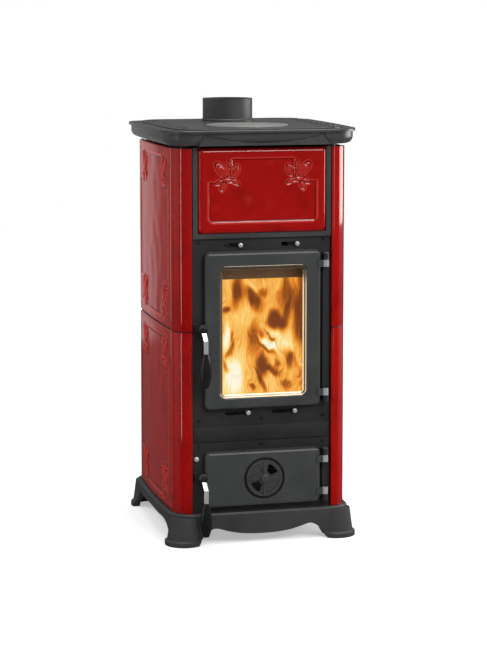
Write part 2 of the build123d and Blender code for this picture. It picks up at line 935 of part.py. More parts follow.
def rope_ring(z_low, z_high, y_front, y_back):
    outer = rope_inset - rope_width / 2.0
    inner = rope_inset + rope_width / 2.0
    ring = front_slab(door_half_width - outer, z_low + outer, z_high - outer, y_front, y_back,
                      door_corner_radius)
    return ring - front_slab(door_half_width - inner, z_low + inner, z_high - inner, y_front,
                             y_back, door_corner_radius - rope_width / 2.0)


def door_shell(z_low, z_high):
    """Door casting: a front wall with a rounded rim turned back towards the plate."""
    door = front_slab(door_half_width, z_low, z_high, door_face, door_back, door_corner_radius)
    door = fillet(front_edges(door), door_edge_radius)
    margin = rope_inset + rope_width / 2.0 + door_rim_margin
    door -= front_slab(door_half_width - margin, z_low + margin, z_high - margin,
                       door_face + door_wall, door_back, door_corner_radius)
    return door - rope_ring(z_low, z_high, door_back - rope_channel_depth, door_back)


def with_fittings(door, lugs, handle_z):
    """Add the hinge lugs and the boss of the handle, with their bores."""
    for z in lugs:
        door += hinge_lug(z)
        door -= upright_rod(hinge_x, hinge_y, pin_radius + shaft_gap, z, z + lug_length)
    door += front_rod(handle_x, handle_z, handle_boss_radius, boss_face, boss_back)
    web_end = -door_half_width + door_edge_radius + handle_boss_root
    door += block(handle_x, web_end, door_face + handle_web_setback, boss_back,
                  handle_z - handle_boss_radius, handle_z + handle_boss_radius)
    return door - front_rod(handle_x, handle_z, spindle_radius + shaft_gap, boss_face, boss_back)


def clip_places():
    """Edge points of the glass where a clip sits, each with its outward direction."""
    side = window_half_width + glass_border
    top = window_top + glass_border
    places = [(0, top, 0, 1)]
    for z in (window_middle - clip_spacing / 2.0, window_middle + clip_spacing / 2.0):
        places += [(-side, z, -1, 0), (side, z, 1, 0)]
    return places


def fire_door_frame():
    door = door_shell(fire_door_bottom, fire_door_top)
    door -= front_slab(window_half_width, window_bottom, window_top, door_face, door_back,
                       window_corner_radius)
    face = door.faces().sort_by(Axis.Y)[0]
    door = chamfer(face.inner_wires()[0].edges(), window_bevel)
    for x, z, out_x, out_z in clip_places():
        sx = x + out_x * clip_screw_offset
        sz = z + out_z * clip_screw_offset
        door += front_rod(sx, sz, clip_boss_radius, gasket_front, glass_back)
        door -= front_rod(sx, sz, clip_screw_radius + shaft_gap, gasket_front, glass_back)
    return with_fittings(door, fire_lugs(), fire_handle_z)


def door_glass():
    return front_slab(window_half_width + glass_border, window_bottom - glass_border,
                      window_top + glass_border, glass_front, glass_back, glass_corner_radius)


def glass_gasket():
    inset = glass_border - gasket_width
    outer = front_slab(window_half_width + glass_border, window_bottom - glass_border,
                       window_top + glass_border, gasket_front, glass_front,
                       glass_corner_radius)
    return outer - front_slab(window_half_width + inset, window_bottom - inset,
                              window_top + inset, gasket_front, glass_front,
                              glass_corner_radius)


def glass_clips():
    """Flat clips that hold the glass from behind, each with its screw."""
    solids = []
    back = glass_back + clip_thickness
    for x, z, out_x, out_z in clip_places():
        sx = x + out_x * clip_screw_offset
        sz = z + out_z * clip_screw_offset
        half_width = clip_width / 2.0 if out_x else clip_length / 2.0
        half_height = clip_length / 2.0 if out_x else clip_width / 2.0
        middle_x, middle_z = (x + sx) / 2.0, (z + sz) / 2.0
        clip = front_slab(half_width, middle_z - half_height, middle_z + half_height,
                          glass_back, back, clip_corner_radius, middle_x)
        clip -= front_rod(sx, sz, clip_screw_radius + shaft_gap, glass_back, back)
        solids += [clip, front_rod(sx, sz, clip_screw_radius, gasket_front, back)]
    return group(solids)


def ash_door_panel():
    door = door_shell(ash_door_bottom, ash_door_top)
    backing_back = door_face + door_wall + wheel_backing
    door += front_rod(wheel_x, wheel_z, wheel_recess_radius + wheel_recess_depth,
                      door_face + door_wall - wheel_backing, backing_back)
    door -= front_rod(wheel_x, wheel_z, wheel_recess_radius, door_face,
                      door_face + wheel_recess_depth)
    for turn in (45, 225):
        door -= wheel_window(turn, door_face, backing_back)
    door -= front_rod(wheel_x, wheel_z, wheel_shaft_radius + shaft_gap, door_face, backing_back)
    return with_fittings(door, ash_lugs(), ash_handle_z)


def seal_rope(z_low, z_high):
    return rope_ring(z_low, z_high, door_back - rope_channel_depth, plate_front - fit_gap)


# Handles

def lever(z):
    """Bent flat bar: an eye on the spindle, a sloping run forward, then straight down."""
    low_front = lever_back - lever_reach
    low_back = low_front + lever_thickness
    shoulder = lever_eye_radius * lever_root_share
    side = Polyline(
        (lever_front, z + shoulder),
        (lever_back, z + shoulder),
        (lever_back, z - shoulder),
        (low_back, z - lever_bend_drop),
        (low_back, z - lever_length),
        (low_front, z - lever_length),
        (low_front, z - lever_bend_drop),
        (lever_front, z - shoulder),
        (lever_front, z + shoulder),
    )
    bar = Rot(0, 0, 90) * Rot(90, 0, 0) * extrude(make_face(side), amount=lever_width)
    bar = Pos(handle_x - lever_width / 2.0, 0, 0) * bar
    return bar + front_rod(handle_x, z, lever_eye_radius, lever_front, lever_back)


def grip(z):
    """Spindle-shaped grip below the lever, flattened front to back."""
    stations = [
        (0.0, grip_neck_width, grip_neck_depth),
        (0.2, grip_width * 0.72, grip_depth * 0.82),
        (0.5, grip_width, grip_depth),
        (0.78, grip_width * 0.86, grip_depth * 0.9),
        (1.0, grip_width * grip_tip_share, grip_depth * grip_tip_share),
    ]
    sections = []
    for share, width, depth in stations:
        place = Plane((handle_x, grip_y, z - lever_length - share * grip_length))
        sections.append(place * Ellipse(width / 2.0, depth / 2.0))
    return loft(sections)


def latch(z):
    """Spindle through the door's boss with the latch tongue behind it."""
    spindle = front_rod(handle_x, z, spindle_radius, lever_back, tongue_front)
    hub = front_rod(handle_x, z, latch_width / 2.0, tongue_front, tongue_back)
    tongue = block(handle_x - latch_length, handle_x, tongue_front, tongue_back,
                   z - latch_width / 2.0, z + latch_width / 2.0)
    return spindle + hub + tongue


def latch_keepers():
    """Strikers on the front plates that the latch tongues bear on."""
    keepers = []
    x_low = handle_x - latch_length - keeper_end_gap
    for z in (fire_handle_z, ash_handle_z):
        pad = block(x_low, x_low + keeper_width, tongue_back + fit_gap, plate_front,
                    z - keeper_height / 2.0, z + keeper_height / 2.0)
        upper_edge = pad.edges().filter_by(Axis.X).sort_by(Axis.Z)[-2:].sort_by(Axis.Y)[0]
        keepers.append(chamfer(upper_edge, keeper_ramp))
    return group(keepers)


# Air wheel

def wheel_window(turn, y_front, y_back):
    """Sector cut of the wheel, its middle turned from +X as seen from the front."""
    half = math.radians(wheel_window_angle / 2.0)
    near, far = wheel_window_inner, wheel_window_outer
    across, up = math.cos(half), math.sin(half)
    face = make_face([
        Line((near * across, -near * up), (far * across, -far * up)),
        ThreePointArc((far * across, -far * up), (far, 0), (far * across, far * up)),
        Line((far * across, far * up), (near * across, near * up)),
        ThreePointArc((near * across, near * up), (near, 0), (near * across, -near * up)),
    ])
    cut = extrude(Rot(0, 0, turn) * face, amount=y_back - y_front)
    return Pos(wheel_x, y_back, wheel_z) * Rot(90, 0, 0) * cut


def air_wheel():
    wheel = front_rod(wheel_x, wheel_z, wheel_radius, wheel_face, wheel_back)
    rim_front = wheel_face - wheel_rim_height
    rim = front_rod(wheel_x, wheel_z, wheel_radius, rim_front, wheel_face)
    wheel += rim - front_rod(wheel_x, wheel_z, wheel_radius - wheel_rim_width, rim_front,
                             wheel_face)
    for turn in (45, 135, 225, 315):
        wheel -= wheel_window(turn, wheel_face, wheel_back)
    rib = front_slab(wheel_radius - wheel_rim_width / 2.0, -wheel_rib_width / 2.0,
                     wheel_rib_width / 2.0, wheel_face - wheel_rib_height, wheel_face)
    for turn in (0, 90):
        wheel += Pos(wheel_x, 0, wheel_z) * Rot(0, turn, 0) * rib
    knob = front_rod(wheel_x, wheel_z, wheel_knob_radius, wheel_face - wheel_knob_height,
                     wheel_face)
    wheel += fillet(front_edges(knob), wheel_knob_height * head_rounding)
    nut_front = door_face + door_wall + wheel_backing + fit_gap
    wheel += front_rod(wheel_x, wheel_z, wheel_shaft_radius, wheel_back, nut_front)
    return wheel + front_rod(wheel_x, wheel_z, wheel_nut_radius, nut_front,
                             nut_front + wheel_nut_height)


# Air sliders

def slider_plate(z, left, right, length):
    """Plate behind a pair of slots, with a window beside each stem."""
    plate = block(left - slider_margin, right + length + slider_margin, slider_front,
                  slider_back, z - slider_height / 2.0, z + slider_height / 2.0)
    window = length / 2.0 - slider_knob_radius
    for start in (left, right):
        plate -= block(start + slider_end_gap, start + slider_end_gap + window, slider_front,
                       slider_back, z - slot_height / 2.0, z + slot_height / 2.0)
    return plate


def slider_knobs(z, left, right, length):
    knobs = []
    cap_back = plate_front - fit_gap
    for start in (left, right):
        x = start + length - slider_end_gap - slider_stem_radius
        cap = front_rod(x, z, slider_knob_radius, cap_back - slider_knob_height, cap_back)
        cap = fillet(front_edges(cap), slider_knob_height * knob_rounding)
        knobs.append(cap + front_rod(x, z, slider_stem_radius, cap_back, slider_front))
    return group(knobs)


def slider_guides():
    """Small brackets behind the upper front plate that carry the two sliders."""
    guides = []
    lip_front = slider_back + fit_gap
    lip_back = lip_front + guide_thickness
    for z in (upper_slot_z, lower_slot_z):
        edge = slider_height / 2.0 + fit_gap
        low, high = -guide_length / 2.0, guide_length / 2.0
        wall = block(low, high, plate_back, lip_back, edge, edge + guide_thickness)
        bracket = wall + block(low, high, lip_front, lip_back, edge - guide_lip, edge)
        for x in (-guide_x, guide_x):
            guides.append(Pos(x, 0, z) * bracket)
            guides.append(Pos(x, 0, z) * mirror(bracket, about=Plane.XY))
    return group(guides)


# Chambers

def chamber_face(gap, front, rear):
    """Plan of a plate that fills the body, rounded where the side walls turn inward."""
    half = wall_inner_half - gap
    face = make_face(Polyline((-half, front), (half, front), (half, rear), (-half, rear),
                              (-half, front)))
    return fillet(face.vertices().sort_by(Axis.Y)[:2], inner_corner_radius)


def ash_floor():
    face = chamber_face(chamber_gap, chamber_front + chamber_gap, wall_rear)
    floor_bottom = ash_opening_bottom - ash_floor_thickness
    floor = prism(face, floor_bottom, ash_opening_bottom)
    for x in (-ash_floor_rib_x, ash_floor_rib_x):
        floor += block(x - ash_floor_rib_width / 2.0, x + ash_floor_rib_width / 2.0,
                       chamber_front + chamber_gap, wall_rear, base_height, floor_bottom)
    return floor


def ash_pan():
    rear = pan_front + pan_depth
    pan = block(-pan_half_width, pan_half_width, pan_front, rear, pan_bottom,
                pan_bottom + pan_height)
    pan -= block(-pan_half_width + pan_wall, pan_half_width - pan_wall, pan_front + pan_wall,
                 rear - pan_wall, pan_bottom + pan_wall, pan_bottom + pan_height)
    bar_y = pan_front - pan_handle_reach
    bar_z = pan_bottom + pan_handle_rise
    bar = Rot(0, 90, 0) * Cylinder(pan_handle_radius, 2.0 * pan_handle_half_width)
    pan += Pos(0, bar_y, bar_z) * bar
    for x in (-pan_handle_half_width, pan_handle_half_width):
        pan += front_rod(x, bar_z, pan_handle_radius, bar_y, pan_front + pan_wall / 2.0)
    return pan


def hearth_plate():
    """Floor of the fire chamber with the stepped opening of the grate and the riddle guides."""
    plate = prism(chamber_face(0, chamber_front, wall_rear), hearth_bottom, hearth_top)
    plate -= block(-grate_half_width, grate_half_width, grate_front, grate_rear,
                   hearth_bottom, hearth_top)
    guide_front = grate_front + riddle_guide_front
    guide_edge = riddle_half_width + fit_gap
    lip_top = riddle_bottom - fit_gap
    lip_bottom = lip_top - riddle_lip_height
    for low, high in both_signs(grate_half_width - grate_ledge, grate_half_width):
        plate += block(low, high, grate_front, grate_rear, hearth_bottom, grate_bottom)
    for low, high in both_signs(guide_edge, guide_edge + riddle_guide_width):
        plate += block(low, high, guide_front, grate_rear, lip_bottom, hearth_bottom)
    for low, high in both_signs(guide_edge - riddle_lip_width, guide_edge):
        plate += block(low, high, guide_front, grate_rear, lip_bottom, lip_top)
    return plate


def fire_grate():
    """Slotted grate resting on the ledges of the hearth plate."""
    half = grate_half_width - slide_gap
    front = grate_front + slide_gap
    rear = grate_rear - slide_gap
    grate = block(-half, half, front, rear, grate_bottom, grate_top)
    pitch = (rear - front - grate_bar_width) / grate_slot_count
    for index in range(grate_slot_count):
        y = front + grate_bar_width + index * pitch
        for low, high in both_signs(grate_bar_width / 2.0, half - grate_bar_width):
            grate -= block(low, high, y, y + pitch - grate_bar_width, grate_bottom, grate_top)
    return grate


def firebrick_right():
    return block(brick_inner_half, wall_inner_half, chamber_front + inner_corner_radius,
                 wall_rear - brick_thickness, hearth_top, brick_top)


def firebrick_back():
    return block(-wall_inner_half, wall_inner_half, wall_rear - brick_thickness, wall_rear,
                 hearth_top, brick_top)


def baffle_plate():
    half = wall_inner_half - chamber_gap
    return block(-half, half, chamber_front + baffle_front_gap, wall_rear, brick_top,
                 brick_top + baffle_thickness)


def log_guard():
    half = brick_inner_half - chamber_gap
    front = chamber_front + chamber_gap
    guard = block(-half, half, front, front + log_guard_thickness, hearth_top,
                  hearth_top + log_guard_height)
    return guard + block(-half, half, front, front + log_guard_foot, hearth_top,
                         hearth_top + log_guard_thickness)


def air_deflector():
    """Folded sheet behind the plate that turns the washing air down over the glass."""
    half = flange_inner_half - deflector_side_gap
    rear = plate_back + deflector_depth
    top = fire_opening_top + deflector_rise
    sheet = block(-half, half, plate_back, plate_back + deflector_thickness,
                  fire_opening_top, top)
    sheet += block(-half, half, plate_back, rear, top - deflector_thickness, top)
    return sheet + block(-half, half, rear - deflector_thickness, rear,
                         window_top - deflector_overlap, top)


def firewood():
    """Three round logs, two on the grate and one across them."""
    centre_y = (grate_front + grate_rear) / 2.0
    offset = log_radius + log_gap
    low_z = grate_top + fit_gap + log_radius
    high_z = low_z + fit_gap + math.sqrt((2.0 * log_radius) ** 2 - offset ** 2)
    log = Rot(0, 90, 0) * Cylinder(log_radius, log_length)
    return group([Pos(0, centre_y - offset, low_z) * log, Pos(0, centre_y + offset, low_z) * log,
                  Pos(0, centre_y, high_z) * log])


# Riddling rod

def shaker_rod():
    """Rod through the lower plate, its arm and the slotted plate drawn under the grate."""
    arm_front = shaker_rear - shaker_arm_depth
    arm_low = shaker_x - shaker_arm_width / 2.0
    arm_high = shaker_x + shaker_arm_width / 2.0
    lip_bottom = riddle_bottom - fit_gap - riddle_lip_height
    bridge_top = lip_bottom - riddle_bridge_gap
    bridge_bottom = bridge_top - riddle_bridge_height
    post_low = -riddle_half_width + riddle_post_inset
    post_high = post_low + riddle_post_width
    rod = front_rod(shaker_x, shaker_z, shaker_rod_radius, plate_front - slide_gap, shaker_rear)
    rod += block(arm_low, arm_high, arm_front, shaker_rear, shaker_z, bridge_top)
    rod += block(arm_low, post_high, arm_front, shaker_rear, bridge_bottom, bridge_top)
    rod += block(post_low, post_high, arm_front, shaker_rear, bridge_bottom, riddle_bottom)
    plate = block(-riddle_half_width, riddle_half_width, riddle_front, riddle_rear,
                  riddle_bottom, riddle_top)
    pitch = (riddle_rear - riddle_front - grate_bar_width) / riddle_slot_count
    slot_half = riddle_half_width - riddle_slot_margin
    for index in range(riddle_slot_count):
        y = riddle_front + grate_bar_width + index * pitch
        plate -= block(-slot_half, slot_half, y, y + pitch - grate_bar_width, riddle_bottom,
                       riddle_top)
    return rod + plate


def shaker_knob():
    back = plate_front - slide_gap
    knob = front_rod(shaker_x, shaker_z, shaker_knob_radius, back - shaker_knob_height, back)
    return fillet(front_edges(knob), shaker_knob_height * knob_rounding)


# Rear heat shield

def shield_screw_places():
    return [(x, z) for x in (-spacer_x, spacer_x)
            for z in (shield_bottom + spacer_inset, shield_top - spacer_inset)]


def rear_shield():
    half = wall_outer_half + shield_side_overlap
    sheet = block(-half, half, shield_front, shield_face, shield_bottom, shield_top)
    for low, high in both_signs(half - shield_thickness, half):
        sheet += block(low, high, shield_front - shield_side_return, shield_front,
                       shield_bottom, shield_top)
    low_row = shield_bottom + shield_vent_inset
    high_row = shield_top - shield_vent_inset
    for z in (low_row, low_row + shield_vent_row_gap, high_row - shield_vent_row_gap, high_row):
        for index in range(shield_vent_count):
            x = (index - (shield_vent_count - 1) / 2.0) * shield_vent_pitch
            sheet -= front_slab(shield_vent_width / 2.0, z - shield_vent_height / 2.0,
                                z + shield_vent_height / 2.0, shield_front, shield_face,
                                shield_vent_height * slot_corner_share, x)
    for x, z in shield_screw_places():
        sheet -= front_rod(x, z, shield_screw_radius + shaft_gap, shield_front, shield_face)
    return sheet


def shield_spacers():
    """Tubes between the back wall and the shield, each with its screw."""
    solids = []
    wall_back = wall_rear + wall_thickness
    for x, z in shield_screw_places():
        tube = front_rod(x, z, spacer_radius, wall_back, shield_front)
        tube -= front_rod(x, z, shield_screw_radius + shaft_gap, wall_back, shield_front)
        screw = front_rod(x, z, shield_screw_radius, wall_rear, shield_face)
        screw += front_rod(x, z, shield_screw_head_radius, shield_face,
                           shield_face + shield_screw_head_height)
        solids += [tube, screw]
    return group(solids)


def cladding():
    """Side and corner tiles of both sides, lower and upper, and the rails between them."""
    levels = {"lower": (base_height, seam_bottom), "upper": (seam_top, cladding_top)}
    pieces = {}
    for level, (z_low, z_high) in levels.items():
        for kind, tile in (("side", side_tile(z_low, z_high)),
                           ("corner", corner_tile(z_low, z_high))):
            pieces[f"{kind}_tile_right_{level}"] = tile
            pieces[f"{kind}_tile_left_{level}"] = mirrored(tile)
    rail = tile_rail()
    pieces["tile_rail_right"] = rail
    pieces["tile_rail_left"] = mirrored(rail)
    return pieces


def build():
    upper_slots = (upper_slot_z, upper_slot_left, upper_slot_right, upper_slot_length)
    lower_slots = (lower_slot_z, lower_slot_left, lower_slot_right, lower_slot_length)
    parts = {
        "base_casting": base_casting(),
        "left_wall": left_wall(),
        "right_wall": side_wall(),
        "back_wall": back_wall(),
        "upper_front_plate": upper_front_plate(),
        "lower_front_plate": lower_front_plate(),
        "front_plate_screws": front_plate_screws(),
        "tie_rods": tie_rods(),
        "front_tile_frame": front_tile_frame(),
        "front_tile": front_tile(),
        "top_plate": top_plate(),
        "cooking_disc": cooking_disc(),
        "flue_spigot": flue_spigot(),
        "flue_retaining_ring": flue_retaining_ring(),
        "hinge_pins": hinge_pins(),
        "latch_keepers": latch_keepers(),
        "fire_door_frame": fire_door_frame(),
        "door_glass": door_glass(),
        "glass_gasket": glass_gasket(),
        "glass_clips": glass_clips(),
        "fire_door_rope": seal_rope(fire_door_bottom, fire_door_top),
        "fire_handle_lever": lever(fire_handle_z),
        "fire_handle_grip": grip(fire_handle_z),
        "fire_latch": latch(fire_handle_z),
        "ash_door_panel": ash_door_panel(),
        "ash_door_rope": seal_rope(ash_door_bottom, ash_door_top),
        "ash_handle_lever": lever(ash_handle_z),
        "ash_handle_grip": grip(ash_handle_z),
        "ash_latch": latch(ash_handle_z),
        "air_wheel": air_wheel(),
        "upper_air_slider": slider_plate(*upper_slots),
        "upper_air_knobs": slider_knobs(*upper_slots),
        "lower_air_slider": slider_plate(*lower_slots),
        "lower_air_knobs": slider_knobs(*lower_slots),
        "slider_guides": slider_guides(),
        "ash_floor": ash_floor(),
        "ash_pan": ash_pan(),
        "hearth_plate": hearth_plate(),
        "fire_grate": fire_grate(),
        "firebrick_right": firebrick_right(),
        "firebrick_left": mirrored(firebrick_right()),
        "firebrick_back": firebrick_back(),
        "baffle_plate": baffle_plate(),
        "log_guard": log_guard(),
        "air_deflector": air_deflector(),
        "firewood": firewood(),
        "shaker_rod": shaker_rod(),
        "shaker_knob": shaker_knob(),
        "rear_shield": rear_shield(),
        "shield_spacers": shield_spacers(),
    }
    parts.update(cladding())
    for name, shape in parts.items():
        save(name, shape)
    print("footprint shift", round(footprint_shift, 3), "nodes", len(parts))


os.makedirs("parts", exist_ok=True)
build()
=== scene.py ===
import math

import bpy
import numpy as np
from mathutils import Matrix, Vector


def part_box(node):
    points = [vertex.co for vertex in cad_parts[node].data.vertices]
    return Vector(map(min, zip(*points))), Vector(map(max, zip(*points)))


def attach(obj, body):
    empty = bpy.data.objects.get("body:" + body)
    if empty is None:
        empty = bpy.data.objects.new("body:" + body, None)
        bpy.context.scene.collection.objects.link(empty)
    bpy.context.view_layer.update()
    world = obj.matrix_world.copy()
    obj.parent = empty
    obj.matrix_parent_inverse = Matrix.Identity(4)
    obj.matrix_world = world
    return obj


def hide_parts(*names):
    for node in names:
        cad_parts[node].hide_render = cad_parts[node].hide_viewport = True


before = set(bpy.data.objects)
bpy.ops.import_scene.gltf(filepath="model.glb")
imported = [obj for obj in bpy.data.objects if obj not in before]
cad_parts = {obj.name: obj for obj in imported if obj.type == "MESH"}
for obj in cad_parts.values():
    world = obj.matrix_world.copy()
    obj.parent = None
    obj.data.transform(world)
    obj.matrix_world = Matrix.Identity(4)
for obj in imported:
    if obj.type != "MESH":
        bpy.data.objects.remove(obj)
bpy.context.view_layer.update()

scene = bpy.context.scene
bpy.ops.object.select_all(action="DESELECT")

# Camera. It stands about five metres off, a little to the left, just above the flue, and
# looks slightly down. The small shift keeps the uprights nearly parallel, as in the photograph.

camera_place = (-1.3085, -5.1165, 1.3229)
camera_turn = 14.431
camera_dip = 6.366
camera_lens = 114.82
camera_shift = -0.13

bpy.ops.object.camera_add(
    location=camera_place,
    rotation=(math.radians(90.0 - camera_dip), 0.0, math.radians(-camera_turn)),
)
camera = bpy.context.object
camera.name = "camera"
camera.data.lens = camera_lens
camera.data.shift_y = camera_shift
scene.camera = camera
scene.view_settings.view_transform = "Standard"

# Studio. A pale floor fades into a white surround, which lights the object a little less from the
# left. Soft lamps stand in front, above, behind and at both sides; what gloss reflects instead of
# the surround are dim panels, lighter at the sides than in front and behind.

surround_left, surround_right = 0.20, 0.44
surround_panels = (
    # from 0 in front to 1 behind, and how bright the panels are there
    (0.0, 0.07), (0.36, 0.07), (0.40, 0.36), (0.72, 0.36), (0.76, 0.13), (0.94, 0.14), (1.0, 0.16),
)
panels_dim_below, panels_full_above = -0.34, -0.02
panels_dimmed_to = 0.30
floor_size = 14.0
floor_lift = 0.42
fade_start, fade_end = 0.75, 2.4


def feed(tree, node, inputs):
    """Set each of a node's inputs to a plain value, or link it to the output of another node."""
    for socket, value in inputs.items():
        if isinstance(value, bpy.types.NodeSocket):
            tree.links.new(value, node.inputs[socket])
        else:
            node.inputs[socket].default_value = value


def add_node(tree, kind, inputs=None, **settings):
    node = tree.nodes.new(kind)
    for name, value in settings.items():
        setattr(node, name, value)
    feed(tree, node, inputs or {})
    return node


def object_place(tree):
    return add_node(tree, "ShaderNodeTexCoord").outputs["Object"]


def axes_of(tree, place):
    return add_node(tree, "ShaderNodeSeparateXYZ", {"Vector": place}).outputs


def maths(tree, operation, first, second):
    return add_node(tree, "ShaderNodeMath", {0: first, 1: second},
                    operation=operation).outputs["Value"]


def ranged(tree, value, low, high, to_low=0.0, to_high=1.0, ease="LINEAR"):
    """Value stretched from low and high to to_low and to_high, and held at the ends."""
    return add_node(tree, "ShaderNodeMapRange", {
        "Value": value, "From Min": low, "From Max": high, "To Min": to_low, "To Max": to_high,
    }, interpolation_type=ease).outputs["Result"]


def colour_stops(tree, share, stops):
    """Colour that follows a mask through stops of position and colour."""
    ramp = add_node(tree, "ShaderNodeValToRGB", {"Fac": share})
    for element, (position, colour) in zip(ramp.color_ramp.elements, (stops[0], stops[-1])):
        element.position = position
        element.color = colour
    for position, colour in stops[1:-1]:
        ramp.color_ramp.elements.new(position).color = colour
    return ramp.outputs["Color"]


def principled(name):
    surface = bpy.data.materials.new(name)
    surface.use_nodes = True
    return surface, surface.node_tree, surface.node_tree.nodes["Principled BSDF"]


def grey(level):
    return (level, level, level, 1.0)


def light_surround():
    """World that the camera sees as plain white."""
    world = bpy.data.worlds.new("studio")
    scene.world = world
    world.use_nodes = True
    tree = world.node_tree
    paths = add_node(tree, "ShaderNodeLightPath").outputs
    axes = axes_of(tree, add_node(tree, "ShaderNodeTexCoord").outputs["Generated"])
    panels = colour_stops(tree, ranged(tree, axes["Y"], -1.0, 1.0),
                          [(place, grey(level)) for place, level in surround_panels])
    above = ranged(tree, axes["Z"], panels_dim_below, panels_full_above, panels_dimmed_to)
    level = add_node(tree, "ShaderNodeMix", {
        "Factor": paths["Is Glossy Ray"],
        "A": ranged(tree, axes["X"], -1.0, 1.0, surround_left, surround_right),
        "B": maths(tree, "MULTIPLY", panels, above),
    }, data_type="FLOAT")
    lit = tree.nodes["Background"]
    feed(tree, lit, {"Color": grey(1.0), "Strength": level.outputs["Result"]})
    shown = add_node(tree, "ShaderNodeBackground", {"Color": grey(1.0)})
    mix = add_node(tree, "ShaderNodeMixShader", {
        "Fac": paths["Is Camera Ray"],
        1: lit.outputs["Background"],
        2: shown.outputs["Background"],
    })
    feed(tree, tree.nodes["World Output"], {"Surface": mix.outputs["Shader"]})


def soft_lamp(name, place, aim, width, height, watts, in_gloss=True):
    """Rectangular lamp at place, turned towards aim."""
    bpy.ops.object.light_add(type="AREA", location=place)
    lamp = bpy.context.object
    lamp.name = name
    lamp.data.shape = "RECTANGLE"
    lamp.data.size = width
    lamp.data.size_y = height
    lamp.data.energy = watts
    lamp.visible_glossy = in_gloss
    aim_line = Vector(aim) - Vector(place)
    lamp.rotation_euler = aim_line.to_track_quat("-Z", "Y").to_euler()


def pale_floor():
    bpy.ops.mesh.primitive_plane_add(size=floor_size, location=(0.0, 0.0, 0.0))
    floor = bpy.context.object
    floor.name = "floor"
    surface, tree, board = principled("pale_floor")
    away = add_node(tree, "ShaderNodeVectorMath", {0: object_place(tree)}, operation="LENGTH")
    fade = ranged(tree, away.outputs["Value"], fade_start, fade_end, floor_lift, 1.0, "SMOOTHSTEP")
    paths = add_node(tree, "ShaderNodeLightPath").outputs
    feed(tree, board, {
        "Base Color": grey(0.86),
        "Roughness": 0.9,
        "Emission Color": grey(1.0),
        "Emission Strength": maths(tree, "MULTIPLY", fade, paths["Is Camera Ray"]),
    })
    floor.data.materials.append(surface)
    floor.visible_glossy = False


light_surround()
pale_floor()
body_middle = (0.0, 0.0, 0.55)
soft_lamp("front_lamp", (1.3, -3.1, 3.0), body_middle, 2.4, 1.6, 80.0)
soft_lamp("top_lamp", (0.2, -0.1, 3.4), body_middle, 2.0, 2.0, 62.0)
soft_lamp("right_lamp", (2.4, 0.05, 1.15), (0.0, -0.1, 1.0), 1.4, 1.1, 30.0)
soft_lamp("left_lamp", (-2.2, -1.13, 0.8), (-0.2, -0.2, 0.7), 0.13, 2.2, 4.6)
soft_lamp("rear_lamp", (-0.36, 1.5, 0.84), (-0.222, 0.1, 0.85), 0.42, 1.2, 0.52)
soft_lamp("side_lamp", (-1.0, 0.55, 1.0), (-0.222, 0.0, 0.85), 0.6, 0.6, 8.0, in_gloss=False)

# Cast iron under stove paint. Base, walls, plates, doors and top are sand castings with a fine
# grain, sprayed with charcoal paint that is a little glossier where hands and cloths rub it.

paint_colour = (0.036, 0.037, 0.038, 1.0)
paint_worn = (0.052, 0.053, 0.054, 1.0)


def noise(tree, place, scale, detail, roughness=0.5):
    return add_node(tree, "ShaderNodeTexNoise", {
        "Vector": place, "Scale": scale, "Detail": detail, "Roughness": roughness,
    }).outputs["Fac"]


def blended(tree, share, start, end):
    """Colour that goes from start to end as share rises."""
    return add_node(tree, "ShaderNodeMix", {"Factor": share, "A": start, "B": end},
                    data_type="RGBA").outputs["Result"]


def bumped(tree, height, strength, depth):
    return add_node(tree, "ShaderNodeBump", {
        "Height": height, "Strength": strength, "Distance": depth,
    }).outputs["Normal"]


def cast_grain_group():
    """Masks of a sand casting: fine grain for bump, and slow patches for tone and gloss."""
    group = bpy.data.node_groups.new("cast_grain", "ShaderNodeTree")
    for label, value in (("Grain Size", 900.0), ("Patch Size", 9.0)):
        socket = group.interface.new_socket(label, in_out="INPUT", socket_type="NodeSocketFloat")
        socket.default_value = value
    for label in ("Grain", "Patches"):
        group.interface.new_socket(label, in_out="OUTPUT", socket_type="NodeSocketFloat")
    given = group.nodes.new("NodeGroupInput").outputs
    place = object_place(group)
    add_node(group, "NodeGroupOutput", {
        "Grain": noise(group, place, given["Grain Size"], 3.0),
        "Patches": noise(group, place, given["Patch Size"], 4.0, 0.6),
    })
    return group


cast_grain = cast_grain_group()


def grainy_finish(name, colour, patch_colour, rough, rough_swing, bump, metal=0.0, grain=900.0,
                  patches=9.0, bump_depth=0.0004, specular=0.5):
    """Finish whose tone, gloss and bump come from the cast grain."""
    surface, tree, board = principled(name)
    masks = add_node(tree, "ShaderNodeGroup", {"Grain Size": grain, "Patch Size": patches},
                     node_tree=cast_grain).outputs
    patch_share = masks["Patches"]
    feed(tree, board, {
        "Base Color": blended(tree, ranged(tree, patch_share, 0.35, 0.68), colour, patch_colour),
        "Roughness": ranged(tree, patch_share, 0.0, 1.0, rough - rough_swing, rough + rough_swing),
        "Normal": bumped(tree, masks["Grain"], bump, bump_depth),
        "Metallic": metal,
        "Specular IOR Level": specular,
    })
    return surface


def finish_nodes(surface, *names):
    """Give carried-over solids their finish."""
    for name in names:
        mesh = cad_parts[name].data
        mesh.materials.clear()
        mesh.materials.append(surface)


stove_paint = grainy_finish("stove_paint", paint_colour, paint_worn, 0.46, 0.10, 0.25,
                            specular=0.42)
finish_nodes(stove_paint, "base_casting", "front_tile_frame", "flue_spigot",
             "flue_retaining_ring", "air_wheel")

# Red tiles of glazed earthenware, cast in moulds. Each has a pillow edge, a sunk field with
# hand-pressed unevenness, and sprigs of leaves in its corners; the glaze is thin on the ridges.

